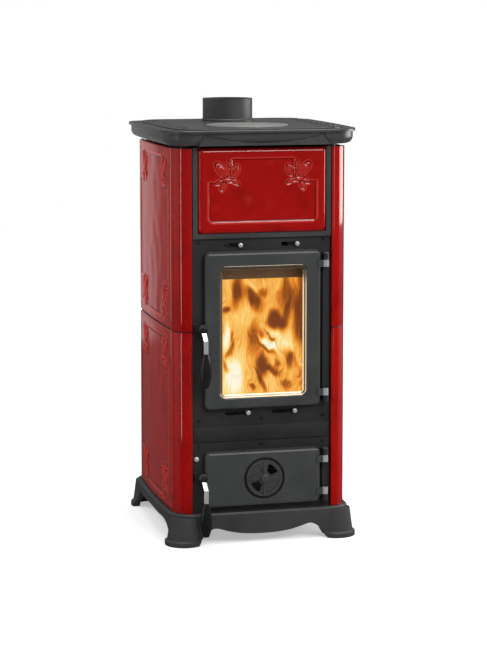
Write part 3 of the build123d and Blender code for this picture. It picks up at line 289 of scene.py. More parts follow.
mm = 0.001
glaze_red = (0.320, 0.0036, 0.0026, 1.0)
glaze_pooled = (0.130, 0.0015, 0.0012, 1.0)
glaze_thin = (0.52, 0.036, 0.026, 1.0)
edge_steps = 7
sprig_leaves = (
    # across, up, turn, half length, half width, rise, ribbed like a fruit
    (-10.5, 11.5, 134.0, 25.0, 11.0, 2.8, 1.0),
    (19.5, 11.0, 56.0, 15.5, 9.5, 2.3, 0.0),
    (5.5, 27.0, 104.0, 7.5, 3.2, 2.6, 0.0),
    (1.5, -11.0, 172.0, 14.0, 4.6, 2.4, 0.0),
    (-18.5, -16.0, 204.0, 9.5, 5.0, 2.2, 0.0),
    (-10.0, -26.5, 244.0, 9.5, 6.0, 2.3, 0.0),
    (20.0, -15.0, 326.0, 10.0, 5.0, 2.3, 0.0),
)
rib_width, rib_depth = 0.13, 0.34
vein_turns, vein_lean, vein_depth = 22.0, 6.0, 0.10
fruit_ring, fruit_ring_width, fruit_ring_depth = 0.72, 0.10, 0.42
least_leaf_height = 0.12
hollow_depth = 1.2
hollow_fade = 1.7
spread_gain = 1.7


def grid_lines(low, high, edge, spans, fine, coarse):
    """Places of grid lines: by angle over the rounded edges, finer inside the spans."""
    turns = [math.pi / 2.0 * step / edge_steps for step in range(edge_steps)]
    rounding = [edge * (1.0 - math.cos(turn)) for turn in turns]
    inner = [low + edge]
    while inner[-1] < high - edge:
        inside = any(start <= inner[-1] <= end for start, end in spans)
        inner.append(inner[-1] + (fine if inside else coarse))
    stretch = (high - low - 2.0 * edge) / (inner[-1] - inner[0])
    flat = [low + edge + (line - low - edge) * stretch for line in inner]
    return [low + fall for fall in rounding] + flat + [high - fall for fall in reversed(rounding)]


def box_distance(across, up, middle, half, corner):
    """Distance to a rounded rectangle, negative inside it."""
    a = np.abs(across - middle[0]) - half[0] + corner
    b = np.abs(up - middle[1]) - half[1] + corner
    return np.hypot(np.maximum(a, 0.0), np.maximum(b, 0.0)) + np.minimum(
        np.maximum(a, b), 0.0) - corner


def soft_step(distance, width):
    """From 1 well inside to 0 well outside, over a band of the given width."""
    share = np.clip(0.5 - distance / width, 0.0, 1.0)
    return share * share * (3.0 - 2.0 * share)


def pressed_waves(across, up, size_across, size_up, seed, count=16, paces=(0.6, 1.7)):
    """Gentle unevenness, as of clay that was pressed into its mould by hand."""
    rolls = np.random.default_rng(seed)
    height = np.zeros_like(across)
    for _ in range(count):
        turn, pace, start = rolls.uniform((0.0, paces[0], 0.0), (math.tau, paces[1], math.tau))
        height += np.sin(pace * math.tau * (np.cos(turn) * across / size_across
                                            + np.sin(turn) * up / size_up) + start)
    return height / math.sqrt(count)


def along_and_aside(across, up, turn, half_long, half_wide):
    """Places measured along and aside a turned oval, each 1 at its rim."""
    cosine, sine = math.cos(math.radians(turn)), math.sin(math.radians(turn))
    return (across * cosine + up * sine) / half_long, (up * cosine - across * sine) / half_wide


def leaf_relief(across, up, leaf):
    """Height of one cushioned leaf, with a rib along it, and how far it reaches."""
    middle_across, middle_up, turn, half_long, half_wide, rise, ribbed = leaf
    along, aside = along_and_aside(across - middle_across, up - middle_up, turn, half_long,
                                   half_wide)
    room = np.clip(1.0 - along * along, 0.0, 1.0)
    width = np.power(room, 0.72) + 1e-4
    share = np.abs(aside) / width
    height = rise * np.sqrt(np.clip(1.0 - share * share, 0.0, 1.0)) * np.power(room, 0.30)
    rib = np.exp(-(aside / rib_width) ** 2) * np.clip(1.4 * room, 0.0, 1.0)
    from_ring = np.hypot(along * 1.05, aside * 1.25) - fruit_ring
    ring = np.exp(-(from_ring / fruit_ring_width) ** 2)
    veins = 0.5 + 0.5 * np.sin(vein_turns * along - vein_lean * np.abs(aside))
    leaf_marks = rib_depth * rib + vein_depth * veins
    marks = (1.0 - ribbed) * leaf_marks + ribbed * fruit_ring_depth * ring
    marked = np.maximum(height * (1.0 - marks), least_leaf_height)
    return np.where(height > 0.0, marked, 0.0), np.hypot(along, aside)


def sprig_relief(across, up, middle, hand, stretch=(1.0, 1.0)):
    """A sprig: its leaves lie over one another in a shallow hollow."""
    local_across = (across - middle[0]) * hand / stretch[0]
    local_up = (up - middle[1]) / stretch[1]
    height = np.zeros_like(across)
    hollow = np.zeros_like(across)
    for leaf in sprig_leaves:
        leaf_height, reach = leaf_relief(local_across, local_up, leaf)
        height = np.maximum(height, leaf_height)
        beyond = np.maximum((reach - 1.0) * leaf[4] / hollow_fade, 0.0)
        hollow = np.maximum(hollow, np.exp(-beyond ** 2))
    return np.where(height > 0.0, height, -hollow_depth * hollow)


def pillow_edge(across, up, low, high, edge):
    """Fall of a rounded edge, and of its corners, below the face."""
    a = np.clip(edge - np.minimum(across - low[0], high[0] - across), 0.0, edge)
    b = np.clip(edge - np.minimum(up - low[1], high[1] - up), 0.0, edge)
    reach = np.minimum(np.hypot(a, b), edge)
    return edge - np.sqrt(edge * edge - reach * reach)


def glaze_spread(height):
    """From -1, where the glaze pools in hollows, to 1, where it is thin on ridges."""
    spread = np.zeros_like(height)
    for near in (1, 2):
        rise = np.zeros_like(height)
        rise[:, near:-near] += (2.0 * height[:, near:-near] - height[:, :-2 * near]
                                - height[:, 2 * near:])
        rise[near:-near, :] += (2.0 * height[near:-near, :] - height[:-2 * near, :]
                                - height[2 * near:, :])
        spread += rise / near
    return np.clip(spread * spread_gain, -1.0, 1.0)


def grid_piece(name, place):
    """Grid of faces whose points lie at place, an array of rows of points in millimetres."""
    rows, columns = place.shape[:2]
    bpy.ops.mesh.primitive_grid_add(x_subdivisions=columns - 1, y_subdivisions=rows - 1, size=1.0)
    piece = bpy.context.object
    piece.name = name
    piece.data.vertices.foreach_set("co", (place * mm).reshape(-1))
    return piece


def mark_points(piece, label, values):
    layer = piece.data.attributes.new(label, "FLOAT", "POINT")
    layer.data.foreach_set("value", values.astype(np.float32).reshape(-1))


def turn_faces_out():
    """Turn all faces of the piece in edit mode outwards, and leave edit mode."""
    bpy.ops.mesh.select_all(action="SELECT")
    bpy.ops.mesh.normals_make_consistent(inside=False)
    bpy.ops.mesh.select_all(action="DESELECT")
    bpy.ops.object.mode_set(mode="OBJECT")


def select_open_rims():
    bpy.ops.mesh.select_mode(type="EDGE")
    bpy.ops.mesh.select_all(action="DESELECT")
    bpy.ops.mesh.select_non_manifold()


def clay_panel(name, place, back_place, spread):
    """Closed panel: a grid shaped by place, with its rim drawn back to back_place."""
    panel = grid_piece(name, place)
    bpy.ops.object.mode_set(mode="EDIT")
    select_open_rims()
    bpy.ops.mesh.extrude_region()
    bpy.ops.object.mode_set(mode="OBJECT")
    for vertex in panel.data.vertices:
        if vertex.select:
            vertex.co = back_place(vertex.co)
    bpy.ops.object.mode_set(mode="EDIT")
    bpy.ops.mesh.edge_face_add()
    turn_faces_out()
    thin = np.zeros(len(panel.data.vertices))
    thin[:spread.size] = spread.reshape(-1)
    mark_points(panel, "thin_glaze", thin)
    bpy.ops.object.shade_smooth_by_angle(angle=math.radians(60.0))
    return panel


def point_mask(tree, label):
    return add_node(tree, "ShaderNodeAttribute", attribute_name=label).outputs["Fac"]


def glaze_finish(name, rough, coat):
    """Transparent red glaze: darker where it pooled, paler on ridges, faintly rippled."""
    surface, tree, board = principled(name)
    place = object_place(tree)
    spread = point_mask(tree, "thin_glaze")
    cloud = noise(tree, place, 13.0, 4.0, 0.62)
    cloud_share = ranged(tree, cloud, 0.50, 0.74, 0.0, 0.42, "SMOOTHSTEP")
    pooled_share = ranged(tree, spread, -0.02, -0.45, 0.0, 0.95)
    thin_share = ranged(tree, spread, 0.02, 0.40, 0.0, 0.85)
    clouded = blended(tree, cloud_share, glaze_red, glaze_pooled)
    pooled = blended(tree, pooled_share, clouded, glaze_pooled)
    ripple = noise(tree, place, 120.0, 1.0)
    feed(tree, board, {
        "Base Color": blended(tree, thin_share, pooled, glaze_thin),
        "Roughness": rough,
        "Coat Weight": coat,
        "Coat Roughness": 0.03,
        "Normal": bumped(tree, ripple, 0.10, 0.0006),
    })
    return surface


red_glaze = glaze_finish("red_glaze", 0.085, 0.35)
side_glaze = glaze_finish("side_glaze", 0.17, 0.06)


def dress(piece, surface, body, slot, *nodes):
    """Give a finished piece its finish, hang it on the body it rides on, and hide the solids it
    stands for.
    """
    piece.data.materials.clear()
    piece.data.materials.append(surface)
    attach(piece, body)
    if nodes:
        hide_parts(*nodes)


# Front tile. It sits in the cast frame over the fire door, its field sunk behind a soft step
# that swings inward round the two upper sprigs.

front_edge = 12.5
front_set_back = 0.4
field_half = (136.0, 77.5)
field_middle_up = 881.5
field_corner = 9.0
field_depth = 1.8
field_step = 3.6
notch_across, notch_up = 124.0, 944.0
notch_half = (46.0, 42.0)
notch_corner = 14.0
sprig_across, sprig_up = 91.0, 918.0
field_unevenness, front_unevenness = 0.20, 0.05
field_seed, front_seed = 4, 9
# the grid is finer over the sprigs and over the step of the field
front_fine_across = ((-137.0, -50.0), (50.0, 137.0))
front_fine_up = ((803.0, 809.0), (878.0, 962.0))
front_fine, front_coarse = 0.95, 2.0


def front_tile():
    low, high = (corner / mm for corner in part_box("front_tile"))
    across, up = np.meshgrid(
        grid_lines(low[0], high[0], front_edge, front_fine_across, front_fine, front_coarse),
        grid_lines(low[2], high[2], front_edge, front_fine_up, front_fine, front_coarse))
    field = box_distance(across, up, (0.0, field_middle_up), field_half, field_corner)
    for hand in (-1.0, 1.0):
        notch = box_distance(across, up, (hand * notch_across, notch_up), notch_half, notch_corner)
        field = np.maximum(field, -notch)
    sunk = soft_step(field, field_step)
    height = -field_depth * sunk
    height += field_unevenness * sunk * pressed_waves(across, up, 76.0, 62.0, field_seed)
    height += front_unevenness * pressed_waves(across, up, 60.0, 60.0, front_seed)
    for hand in (-1.0, 1.0):
        height += sprig_relief(across, up, (hand * sprig_across, sprig_up), -hand)
    spread = glaze_spread(height)
    height -= pillow_edge(across, up, (low[0], low[2]), (high[0], high[2]), front_edge)
    place = np.stack((across, low[1] + front_set_back - height, up), axis=-1)
    return clay_panel("front_relief_tile", place,
                      lambda point: (point[0], high[1] * mm, point[2]), spread)


dress(front_tile(), red_glaze, "stove_body", "glaze", "front_tile")

# Side tiles, two rows on each side, slightly bowed outwards. Their rims rest in the rail between
# the rows; a sunk field with long upright waves lies between four sprigs.

side_bow = 8.4
bow_reach = 230.0
bow_radius = (bow_reach ** 2 + side_bow ** 2) / (2.0 * side_bow)
bow_middle = 8.1
side_edge = 5.5
side_set_back = 0.3
side_thickness = 9.6
side_frame_inset = 26.0
side_field_corner = 10.0
side_field_depth = 1.5
side_field_step = 4.2
side_sprig_front, side_sprig_rear, side_sprig_up = 60.0, 88.0, 64.0
side_sprig_stretch = (0.95, 1.15)
side_sprig_reach = (34.0, 40.0)
side_notch_outward = (22.0, 20.0)
side_notch_half = (50.0, 56.0)
side_field_unevenness, side_unevenness = 0.17, 0.07
side_fine, side_coarse = 1.25, 3.0
tile_rows = ("left_upper", "left_lower", "right_upper", "right_lower")
first_tile_seed = 11


def side_tile(node, seed):
    low, high = (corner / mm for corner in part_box(node))
    hand = 1.0 if high[0] > 0.0 else -1.0
    middle = (0.5 * (low[1] + high[1]), 0.5 * (low[2] + high[2]))
    half = (0.5 * (high[1] - low[1]) - side_frame_inset,
            0.5 * (high[2] - low[2]) - side_frame_inset)
    sprigs_along = (low[1] + side_sprig_front, high[1] - side_sprig_rear)
    sprigs_up = (low[2] + side_sprig_up, high[2] - side_sprig_up)
    fine_along, fine_up = (
        [(line - reach, line + reach) for line in lines]
        for lines, reach in zip((sprigs_along, sprigs_up), side_sprig_reach))
    across, up = np.meshgrid(
        grid_lines(low[1], high[1], side_edge, fine_along, side_fine, side_coarse),
        grid_lines(low[2], high[2], side_edge, fine_up, side_fine, side_coarse))
    field = box_distance(across, up, middle, half, side_field_corner)
    corners = [(side, end, along, height) for side, along in zip((-1.0, 1.0), sprigs_along)
               for end, height in zip((-1.0, 1.0), sprigs_up)]
    for side, end, sprig_along, sprig_height in corners:
        notch_middle = (sprig_along + side * side_notch_outward[0],
                        sprig_height + end * side_notch_outward[1])
        notch = box_distance(across, up, notch_middle, side_notch_half, notch_corner)
        field = np.maximum(field, -notch)
    sunk = soft_step(field, side_field_step)
    height = -side_field_depth * sunk
    height += side_field_unevenness * sunk * pressed_waves(across, up, 58.0, 120.0, seed)
    height += side_unevenness * pressed_waves(across, up, 80.0, 160.0, seed + 20)
    for side, end, sprig_along, sprig_height in corners:
        height += sprig_relief(across, up, (sprig_along, sprig_height), -side * end,
                               side_sprig_stretch)
    spread = glaze_spread(height)
    height -= pillow_edge(across, up, (low[1], low[2]), (high[1], high[2]), side_edge)
    face = max(abs(low[0]), abs(high[0])) - side_set_back

    def bowed(along):
        return face - bow_radius + np.sqrt(bow_radius ** 2 - (along - bow_middle) ** 2)

    def inner_face(point):
        return (hand * (bowed(point[1] / mm) - side_thickness) * mm, point[1], point[2])

    place = np.stack((hand * (bowed(across) + height), across, up), axis=-1)
    return clay_panel("relief_" + node, place, inner_face, spread)


for seed, row in enumerate(tile_rows, start=first_tile_seed):
    node = "side_tile_" + row
    dress(side_tile(node, seed), side_glaze, "stove_body", "glaze", node)

# Corner pieces. They are plain glazed quarter rounds between the front plates and the side
# tiles, with softly rounded ends where one stands on the other.

corner_tile_rounding = 2.2


def weld_all(gap):
    """Enter edit mode, and merge the points of the active piece that lie within gap."""
    bpy.ops.object.mode_set(mode="EDIT")
    bpy.ops.mesh.select_all(action="SELECT")
    bpy.ops.mesh.remove_doubles(threshold=gap * mm)


def round_edges(piece, width, sharper_than, smooth_below):
    """Round the sharp edges of the active piece, and shade it smooth up to an angle."""
    rounding = piece.modifiers.new("rounding", "BEVEL")
    rounding.width = width * mm
    rounding.segments = 3
    rounding.limit_method = "ANGLE"
    rounding.angle_limit = math.radians(sharper_than)
    bpy.ops.object.modifier_apply(modifier="rounding")
    bpy.ops.object.shade_smooth_by_angle(angle=math.radians(smooth_below))


def softened(node, name, width):
    """Copy of a solid of the frame with its sharp edges rounded."""
    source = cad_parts[node]
    piece = bpy.data.objects.new(name, source.data.copy())
    scene.collection.objects.link(piece)
    bpy.ops.object.select_all(action="DESELECT")
    piece.select_set(True)
    bpy.context.view_layer.objects.active = piece
    weld_all(0.02)
    bpy.ops.mesh.dissolve_limited(angle_limit=math.radians(1.0))
    bpy.ops.mesh.select_all(action="DESELECT")
    bpy.ops.object.mode_set(mode="OBJECT")
    round_edges(piece, width, 35.0, 40.0)
    return piece


for row in tile_rows:
    node = "corner_tile_" + row
    dress(softened(node, "glazed_" + node, corner_tile_rounding), red_glaze, "stove_body",
          "glaze", node)

# Front plates. Two dark castings screwed to the flanges of the side walls with domed screws; they
# sit back between the glazed corners, and their paint is darker than the doors' as painted shade of
# that recess.

# Painted shade: this paint is darker than the stove paint and the doors' to stand for the shade of
# the recessed plates; the walls, rails and joint band share it.
shaded_plate_colour = (0.0150, 0.0155, 0.0160, 1.0)
shaded_plate_patch = (0.021, 0.0215, 0.022, 1.0)
shade_darkened_paint = grainy_finish("shade_darkened_paint", shaded_plate_colour, shaded_plate_patch, 0.52, 0.10, 0.25)
black_steel = grainy_finish("black_steel", (0.012, 0.012, 0.013, 1.0), (0.022, 0.022, 0.023, 1.0),
                            0.44, 0.10, 0.12, metal=0.3, grain=500.0)
worn_steel = grainy_finish("worn_steel", (0.20, 0.20, 0.205, 1.0), (0.30, 0.295, 0.29, 1.0),
                           0.34, 0.10, 0.10, metal=0.75, grain=420.0, patches=26.0)
finish_nodes(shade_darkened_paint, "upper_front_plate", "lower_front_plate", "left_wall", "right_wall",
             "back_wall", "tile_rail_right", "tile_rail_left")
finish_nodes(black_steel, "front_plate_screws", "latch_keepers", "fire_latch", "ash_latch",
             "upper_air_slider", "lower_air_slider", "slider_guides")
finish_nodes(worn_steel, "tie_rods", "hinge_pins", "glass_clips", "shield_spacers")

# Band between the plates. A flat steel strip, painted like them, is screwed over their joint
# and stands a millimetre proud, its edges broken.

band_low, band_high = 255.2, 291.6
band_half_width = 175.4
band_proud = 1.2
band_rounding = 0.8


def joint_band():
    plate_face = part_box("front_tile_frame")[1][1] / mm
    bpy.ops.mesh.primitive_cube_add(size=1.0)
    band = bpy.context.object
    band.name = "joint_band"
    band.scale = (2.0 * band_half_width * mm, 2.0 * band_proud * mm, (band_high - band_low) * mm)
    band.location = (0.0, plate_face * mm, 0.5 * (band_low + band_high) * mm)
    bpy.ops.object.transform_apply(location=True, rotation=True, scale=True)
    round_edges(band, band_rounding, 30.0, 35.0)
    return band


dress(joint_band(), shade_darkened_paint, "stove_body", "cast")

# Cooking top. One casting with a raised panel; scrolls of leaves are cast along both sides of
# it, and the lift-off disc over the fire is rubbed bright by pans.

scroll_middle = 191.0
scroll_half_width = 17.0
scroll_front, scroll_rear = -186.0, 204.0
scroll_columns, scroll_rows = 44, 420
scroll_sunk, scroll_thickness = 0.35, 1.0
scroll_leaves = (
    # across, along from the start of a repeat, turn, half length, half width, rise, ribbed
    (-7.0, 8.0, 62.0, 10.0, 4.2, 3.2, 0.0),
    (6.5, 15.0, 128.0, 9.0, 3.8, 3.0, 0.0),
    (9.0, 31.0, 58.0, 9.0, 3.6, 2.8, 0.0),
    (-4.0, 36.0, 118.0, 11.0, 4.4, 3.3, 0.0),
    (-11.0, 25.0, 96.0, 6.0, 2.6, 2.4, 0.0),
    (1.0, 24.0, 84.0, 5.0, 5.0, 3.4, 1.0),
)
scroll_repeat = 48.0
stem_width, stem_rise, stem_swing = 2.2, 2.0, 5.0
disc_polish = grainy_finish("rubbed_disc", (0.27, 0.26, 0.25, 1.0), (0.36, 0.35, 0.335, 1.0),
                            0.36, 0.08, 0.14, metal=0.4, grain=620.0, patches=14.0)
finish_nodes(disc_polish, "cooking_disc")
top_paint = grainy_finish("top_paint", (0.042, 0.042, 0.043, 1.0), (0.056, 0.056, 0.056, 1.0),
                          0.315, 0.06, 0.20)
finish_nodes(top_paint, "top_plate")


def leaf_scroll(name, hand):
    """Strip of scrolled leaves whose ground lies just inside the raised panel."""
    across, along = np.meshgrid(
        np.linspace(-scroll_half_width, scroll_half_width, scroll_columns),
        np.linspace(scroll_front, scroll_rear, scroll_rows))
    swing = stem_swing * np.sin(math.tau * (along - scroll_front) / scroll_repeat)
    height = stem_rise * np.sqrt(np.clip(1.0 - ((across - swing) / stem_width) ** 2, 0.0, 1.0))
    start = scroll_front
    while start + scroll_repeat <= scroll_rear + 1.0:
        for leaf in scroll_leaves:
            placed = (leaf[0], start + leaf[1]) + leaf[2:]
            height = np.maximum(height, leaf_relief(across, along, placed)[0])
        start += scroll_repeat
    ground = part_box("top_plate")[1][2] / mm - scroll_sunk
    place = np.stack((hand * (scroll_middle + across), along, ground + height), axis=-1)
    return clay_panel(name, place,
                      lambda point: (point[0], point[1], (ground - scroll_thickness) * mm),
                      np.zeros_like(height))


for name, hand in (("leaf_scroll_right", 1.0), ("leaf_scroll_left", -1.0)):
    dress(leaf_scroll(name, hand), top_paint, "stove_body", "cast")

# Doors. Glossier castings that stand proud of the plates; the hinge lugs are rubbed to bright
# metal. The fire door holds a pane of ceramic glass in a polished bead, on a soft gasket.

door_colour = (0.041, 0.043, 0.044, 1.0)
door_patch = (0.054, 0.056, 0.057, 1.0)
lug_edge, lug_fade = 0.1535, 0.002
lug_metal = (0.30, 0.30, 0.31, 1.0)
lug_proud = 5.0


def door_finish():
    """Door paint, rubbed to metal on the hinge lugs."""
    surface = grainy_finish("door_paint", door_colour, door_patch, 0.33, 0.07, 0.22)
    tree = surface.node_tree
    board = tree.nodes["Principled BSDF"]
    painted = board.inputs["Base Color"].links[0].from_socket
    rubbed = ranged(tree, axes_of(tree, object_place(tree))["X"], lug_edge, lug_edge + lug_fade)
    feed(tree, board, {"Base Color": blended(tree, rubbed, painted, lug_metal)})
    return surface


def door_face(node):
    """Depth of a door's face, which lies behind its hinge lugs."""
    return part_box(node)[0][1] / mm + lug_proud


def pane_finish():
    """Clear ceramic glass with a little smoke in patches."""
    surface, tree, board = principled("clear_pane")
    smoke = noise(tree, object_place(tree), 22.0, 3.0)
    smoked = ranged(tree, smoke, 0.62, 0.85, 0.0, 0.6)
    feed(tree, board, {
        "Base Color": blended(tree, smoked, (0.985, 0.975, 0.955, 1.0), (0.80, 0.72, 0.60, 1.0)),
        "Transmission Weight": 1.0,
        "Roughness": 0.0,
        "IOR": 1.2,
    })
    return surface


finish_nodes(door_finish(), "fire_door_frame", "ash_door_panel")
finish_nodes(pane_finish(), "door_glass")

corner_steps = 10
bead_half_width = 108.0
bead_inset = 11.0
bead_corner = 12.0
bead_pitch = 9.0
bead_section = (
    # outward offset, depth behind the door's face, how much painted firelight glows there
    (3.6, 1.9, 0.0), (3.1, 1.5, 0.3), (2.3, 1.5, 1.0), (1.4, 2.0, 1.0), (0.8, 2.9, 0.1),
    (0.3, 4.0, 0.0), (-0.8, 4.7, 0.0), (-1.9, 4.8, 0.0), (-2.4, 4.9, 0.9), (-3.6, 5.5, 1.0),
    (-4.9, 6.6, 1.0), (-5.4, 7.3, 0.7), (-5.4, 7.9, 0.2), (-1.0, 7.9, 0.0), (1.0, 5.5, 0.0),
)
# Painted firelight: the bead's ribs glow by emission, fully on the right and bottom sides, weakly
# on the left and top, and fading out towards the window's top.
least_painted_firelight = 0.10
painted_glow_top, painted_glow_fade = 672.0, 24.0


def frame_path(half_across, low, high, corner, pitch):
    """Points and outward directions round a rounded rectangle, in the door's plane."""
    middle = 0.5 * (low + high)
    half_up = 0.5 * (high - low)
    points = []
    for quarter in range(4):
        sign_across = 1.0 if quarter in (0, 3) else -1.0
        sign_up = 1.0 if quarter in (0, 1) else -1.0
        pivot = (sign_across * (half_across - corner), middle + sign_up * (half_up - corner))
        for step in range(corner_steps + 1):
            angle = math.pi / 2.0 * quarter + math.pi / 2.0 * step / corner_steps
            away = (math.cos(angle), math.sin(angle))
            points.append((pivot[0] + corner * away[0], pivot[1] + corner * away[1]) + away)
    dense = []
    for here, after in zip(points, points[1:] + points[:1]):
        gap = math.hypot(after[0] - here[0], after[1] - here[1])
        steps = max(1, int(round(gap / pitch)))
        dense += [tuple(a + (b - a) * step / steps for a, b in zip(here, after))
                  for step in range(steps)]
    return dense


def ring_along(name, path, section, lit=None):
    """Closed ring: section gives outward offset and depth of each point round the section."""
    rounds = len(section(0))
    place = np.zeros((len(path) + 1, rounds + 1, 3))
    for n, (across, up, away_across, away_up) in enumerate(path):
        for k, (out, depth) in enumerate(section(n)):
            place[n, k] = (across + out * away_across, depth, up + out * away_up)
    place[-1] = place[0]
    place[:, -1] = place[:, 0]
    ring = grid_piece(name, place)
    if lit is not None:
        mark_points(ring, "painted_firelight", np.array(
            [[lit(step, k % rounds) for k in range(rounds + 1)] for step in path + path[:1]]))
    weld_all(0.005)
    turn_faces_out()
    bpy.ops.object.shade_smooth_by_angle(angle=math.radians(50.0))
    return ring


def flat_ring(name, path, face, profile):
    """Ring of one profile all round: outward offset and depth behind the face."""
    return ring_along(name, path, lambda n: [(out, face + depth) for out, depth in profile])


def window_bead():
    """Polished strip pressed into the window: two ribs with a groove between them."""
    face = door_face("fire_door_frame")
    low, high = (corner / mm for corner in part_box("door_glass"))
    path = frame_path(bead_half_width, low[2] + bead_inset, high[2] - bead_inset, bead_corner,
                      bead_pitch)

    # Painted firelight on the ribs, set by side and by height.
    def painted_glow(step, k):
        glow_side = least_painted_firelight + (1.0 - least_painted_firelight) * max(step[2], -step[3], 0.0)
        glow_below_top = min(1.0, max(0.0, (painted_glow_top - step[1]) / painted_glow_fade))
        return bead_section[k][2] * glow_side * glow_below_top

    return ring_along("window_bead", path,
                      lambda n: [(out, face + depth) for out, depth, _ in bead_section], painted_glow)


def bead_finish():
    """Polished steel, straw-coloured by heat, with a painted glow of firelight on its ribs."""
    surface = grainy_finish("polished_bead", (0.42, 0.36, 0.29, 1.0), (0.34, 0.27, 0.20, 1.0),
                            0.20, 0.05, 0.03, metal=0.9, grain=380.0)
    tree = surface.node_tree
    # Emission paints the firelight onto the ribs.
    feed(tree, tree.nodes["Principled BSDF"], {
        "Emission Color": blended(tree, point_mask(tree, "painted_firelight"), grey(0.0),
                                  (0.82, 0.58, 0.34, 1.0)),
        "Emission Strength": 1.0,
    })
    return surface


dress(window_bead(), bead_finish(), "fire_door", "steel")

# Door shade strips. A black strip lies on the plates round each doorway, showing just outside the
# rim of the door: a dark sheet that stands for the painted shadow of the gap round the door.

door_half_width = 148.0
door_stand_off = 3.0
shade_strip_pitch = 14.0
shade_strip_section = ((2.3, 0.2), (2.3, -1.5), (1.6, -2.1), (-4.0, -2.1), (-4.6, -1.5), (-4.6, 0.2))


def door_shade_strip(name, node, corner):
    low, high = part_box(node)
    path = frame_path(door_half_width, low[2] / mm, high[2] / mm, corner, shade_strip_pitch)
    return flat_ring(name, path, high[1] / mm + door_stand_off, shade_strip_section)


# Painted shadow: a black strip round each doorway.
dress(door_shade_strip("fire_door_shade_strip", "fire_door_frame", 12.0), black_steel, "stove_body", "cast")
dress(door_shade_strip("ash_door_shade_strip", "ash_door_panel", 9.0), black_steel, "stove_body", "cast")

# Wheel shade ring. A black ring lies in the turned recess of the ash door, round the air wheel: a
# dark sheet that stands for the painted shadow in the groove round the wheel.

wheel_shade_strip_radius = 49.3
wheel_shade_strip_steps = 96
wheel_recess_depth = 3.0
wheel_shade_strip_section = ((3.1, 0.5), (3.0, -0.25), (1.6, -0.45), (-1.6, -0.45), (-2.9, -0.25),
                      (-3.0, 0.5))


def wheel_shade_strip():
    low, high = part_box("air_wheel")
    middle = (0.5 * (low[0] + high[0]) / mm, 0.5 * (low[2] + high[2]) / mm)
    path = []
    for step in range(wheel_shade_strip_steps):
        turn = math.tau * step / wheel_shade_strip_steps
        away = (math.cos(turn), math.sin(turn))
        path.append((middle[0] + wheel_shade_strip_radius * away[0],
                     middle[1] + wheel_shade_strip_radius * away[1]) + away)
    return flat_ring("wheel_shade_strip", path, door_face("ash_door_panel") + wheel_recess_depth,
                     wheel_shade_strip_section)


# Painted shadow: a black ring in the groove round the air wheel.
dress(wheel_shade_strip(), black_steel, "ash_door", "cast")

# Sealing ropes and the glass gasket. Braided glass fibre, pressed into channels of the doors
# and laid round the pane; their strands cross in a close herringbone.

strand_pitch = 5.2
strand_depth = 0.099
strands_crossing = 3.0
rope_pitch = 1.3
rope_points_round = 16
glass_fibre = grainy_finish("glass_fibre", (0.30, 0.29, 0.27, 1.0), (0.42, 0.41, 0.385, 1.0),
                            0.85, 0.08, 0.5, grain=1500.0, patches=60.0, bump_depth=0.0005,
                            specular=0.2)


def braided_ring(name, node, body, corner, width):
    low, high = (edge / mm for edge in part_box(node))
    thick = high[1] - low[1]
    middle = 0.5 * (low[1] + high[1])
    path = frame_path(high[0] - 0.5 * width, low[2] + 0.5 * width, high[2] - 0.5 * width,
                      corner, rope_pitch)

    def section(n):
        winding = math.tau * n * rope_pitch / strand_pitch
        points = []
        for k in range(rope_points_round):
            turn = math.tau * k / rope_points_round
            braid = math.cos(strands_crossing * turn + winding) * math.cos(
                strands_crossing * turn - winding)
            press = 1.0 - strand_depth * (1.0 - braid)
            points.append((0.5 * width * press * math.cos(turn),
                           middle + 0.5 * thick * press * math.sin(turn)))
        return points

    dress(ring_along(name, path, section), glass_fibre, body, "rope", node)


braided_ring("fire_door_braid", "fire_door_rope", "fire_door", 9.0, 9.0)
braided_ring("ash_door_braid", "ash_door_rope", "ash_door", 9.0, 9.0)
braided_ring("pane_braid", "glass_gasket", "fire_door", 4.0, 8.0)

# Levers. Cranked chrome straps on the spindles of the latches, held by a dark domed nut, with
# moulded black grips hanging from them.

chrome = grainy_finish("chrome_plate", (0.82, 0.82, 0.83, 1.0), (0.74, 0.74, 0.76, 1.0),
                       0.16, 0.05, 0.02, metal=0.62, grain=300.0)
black_grip = grainy_finish("moulded_grip", (0.0085, 0.0085, 0.009, 1.0),
                           (0.014, 0.014, 0.0145, 1.0), 0.16, 0.05, 0.03, grain=260.0)
eye_radius = 8.5
eye_set_back = 5.0
nut_radius = 9.4
nut_height = 3.0
nut_sides = 40
strap_rounding, nut_rounding = 0.9, 0.9
nut_crown = (
    # how far in from the last rim, and how far forward from it
    (2.2, 0.6), (3.0, 0.7),
)
finish_nodes(black_grip, "fire_handle_grip", "ash_handle_grip")
finish_nodes(chrome, "upper_air_knobs", "lower_air_knobs", "shaker_knob")


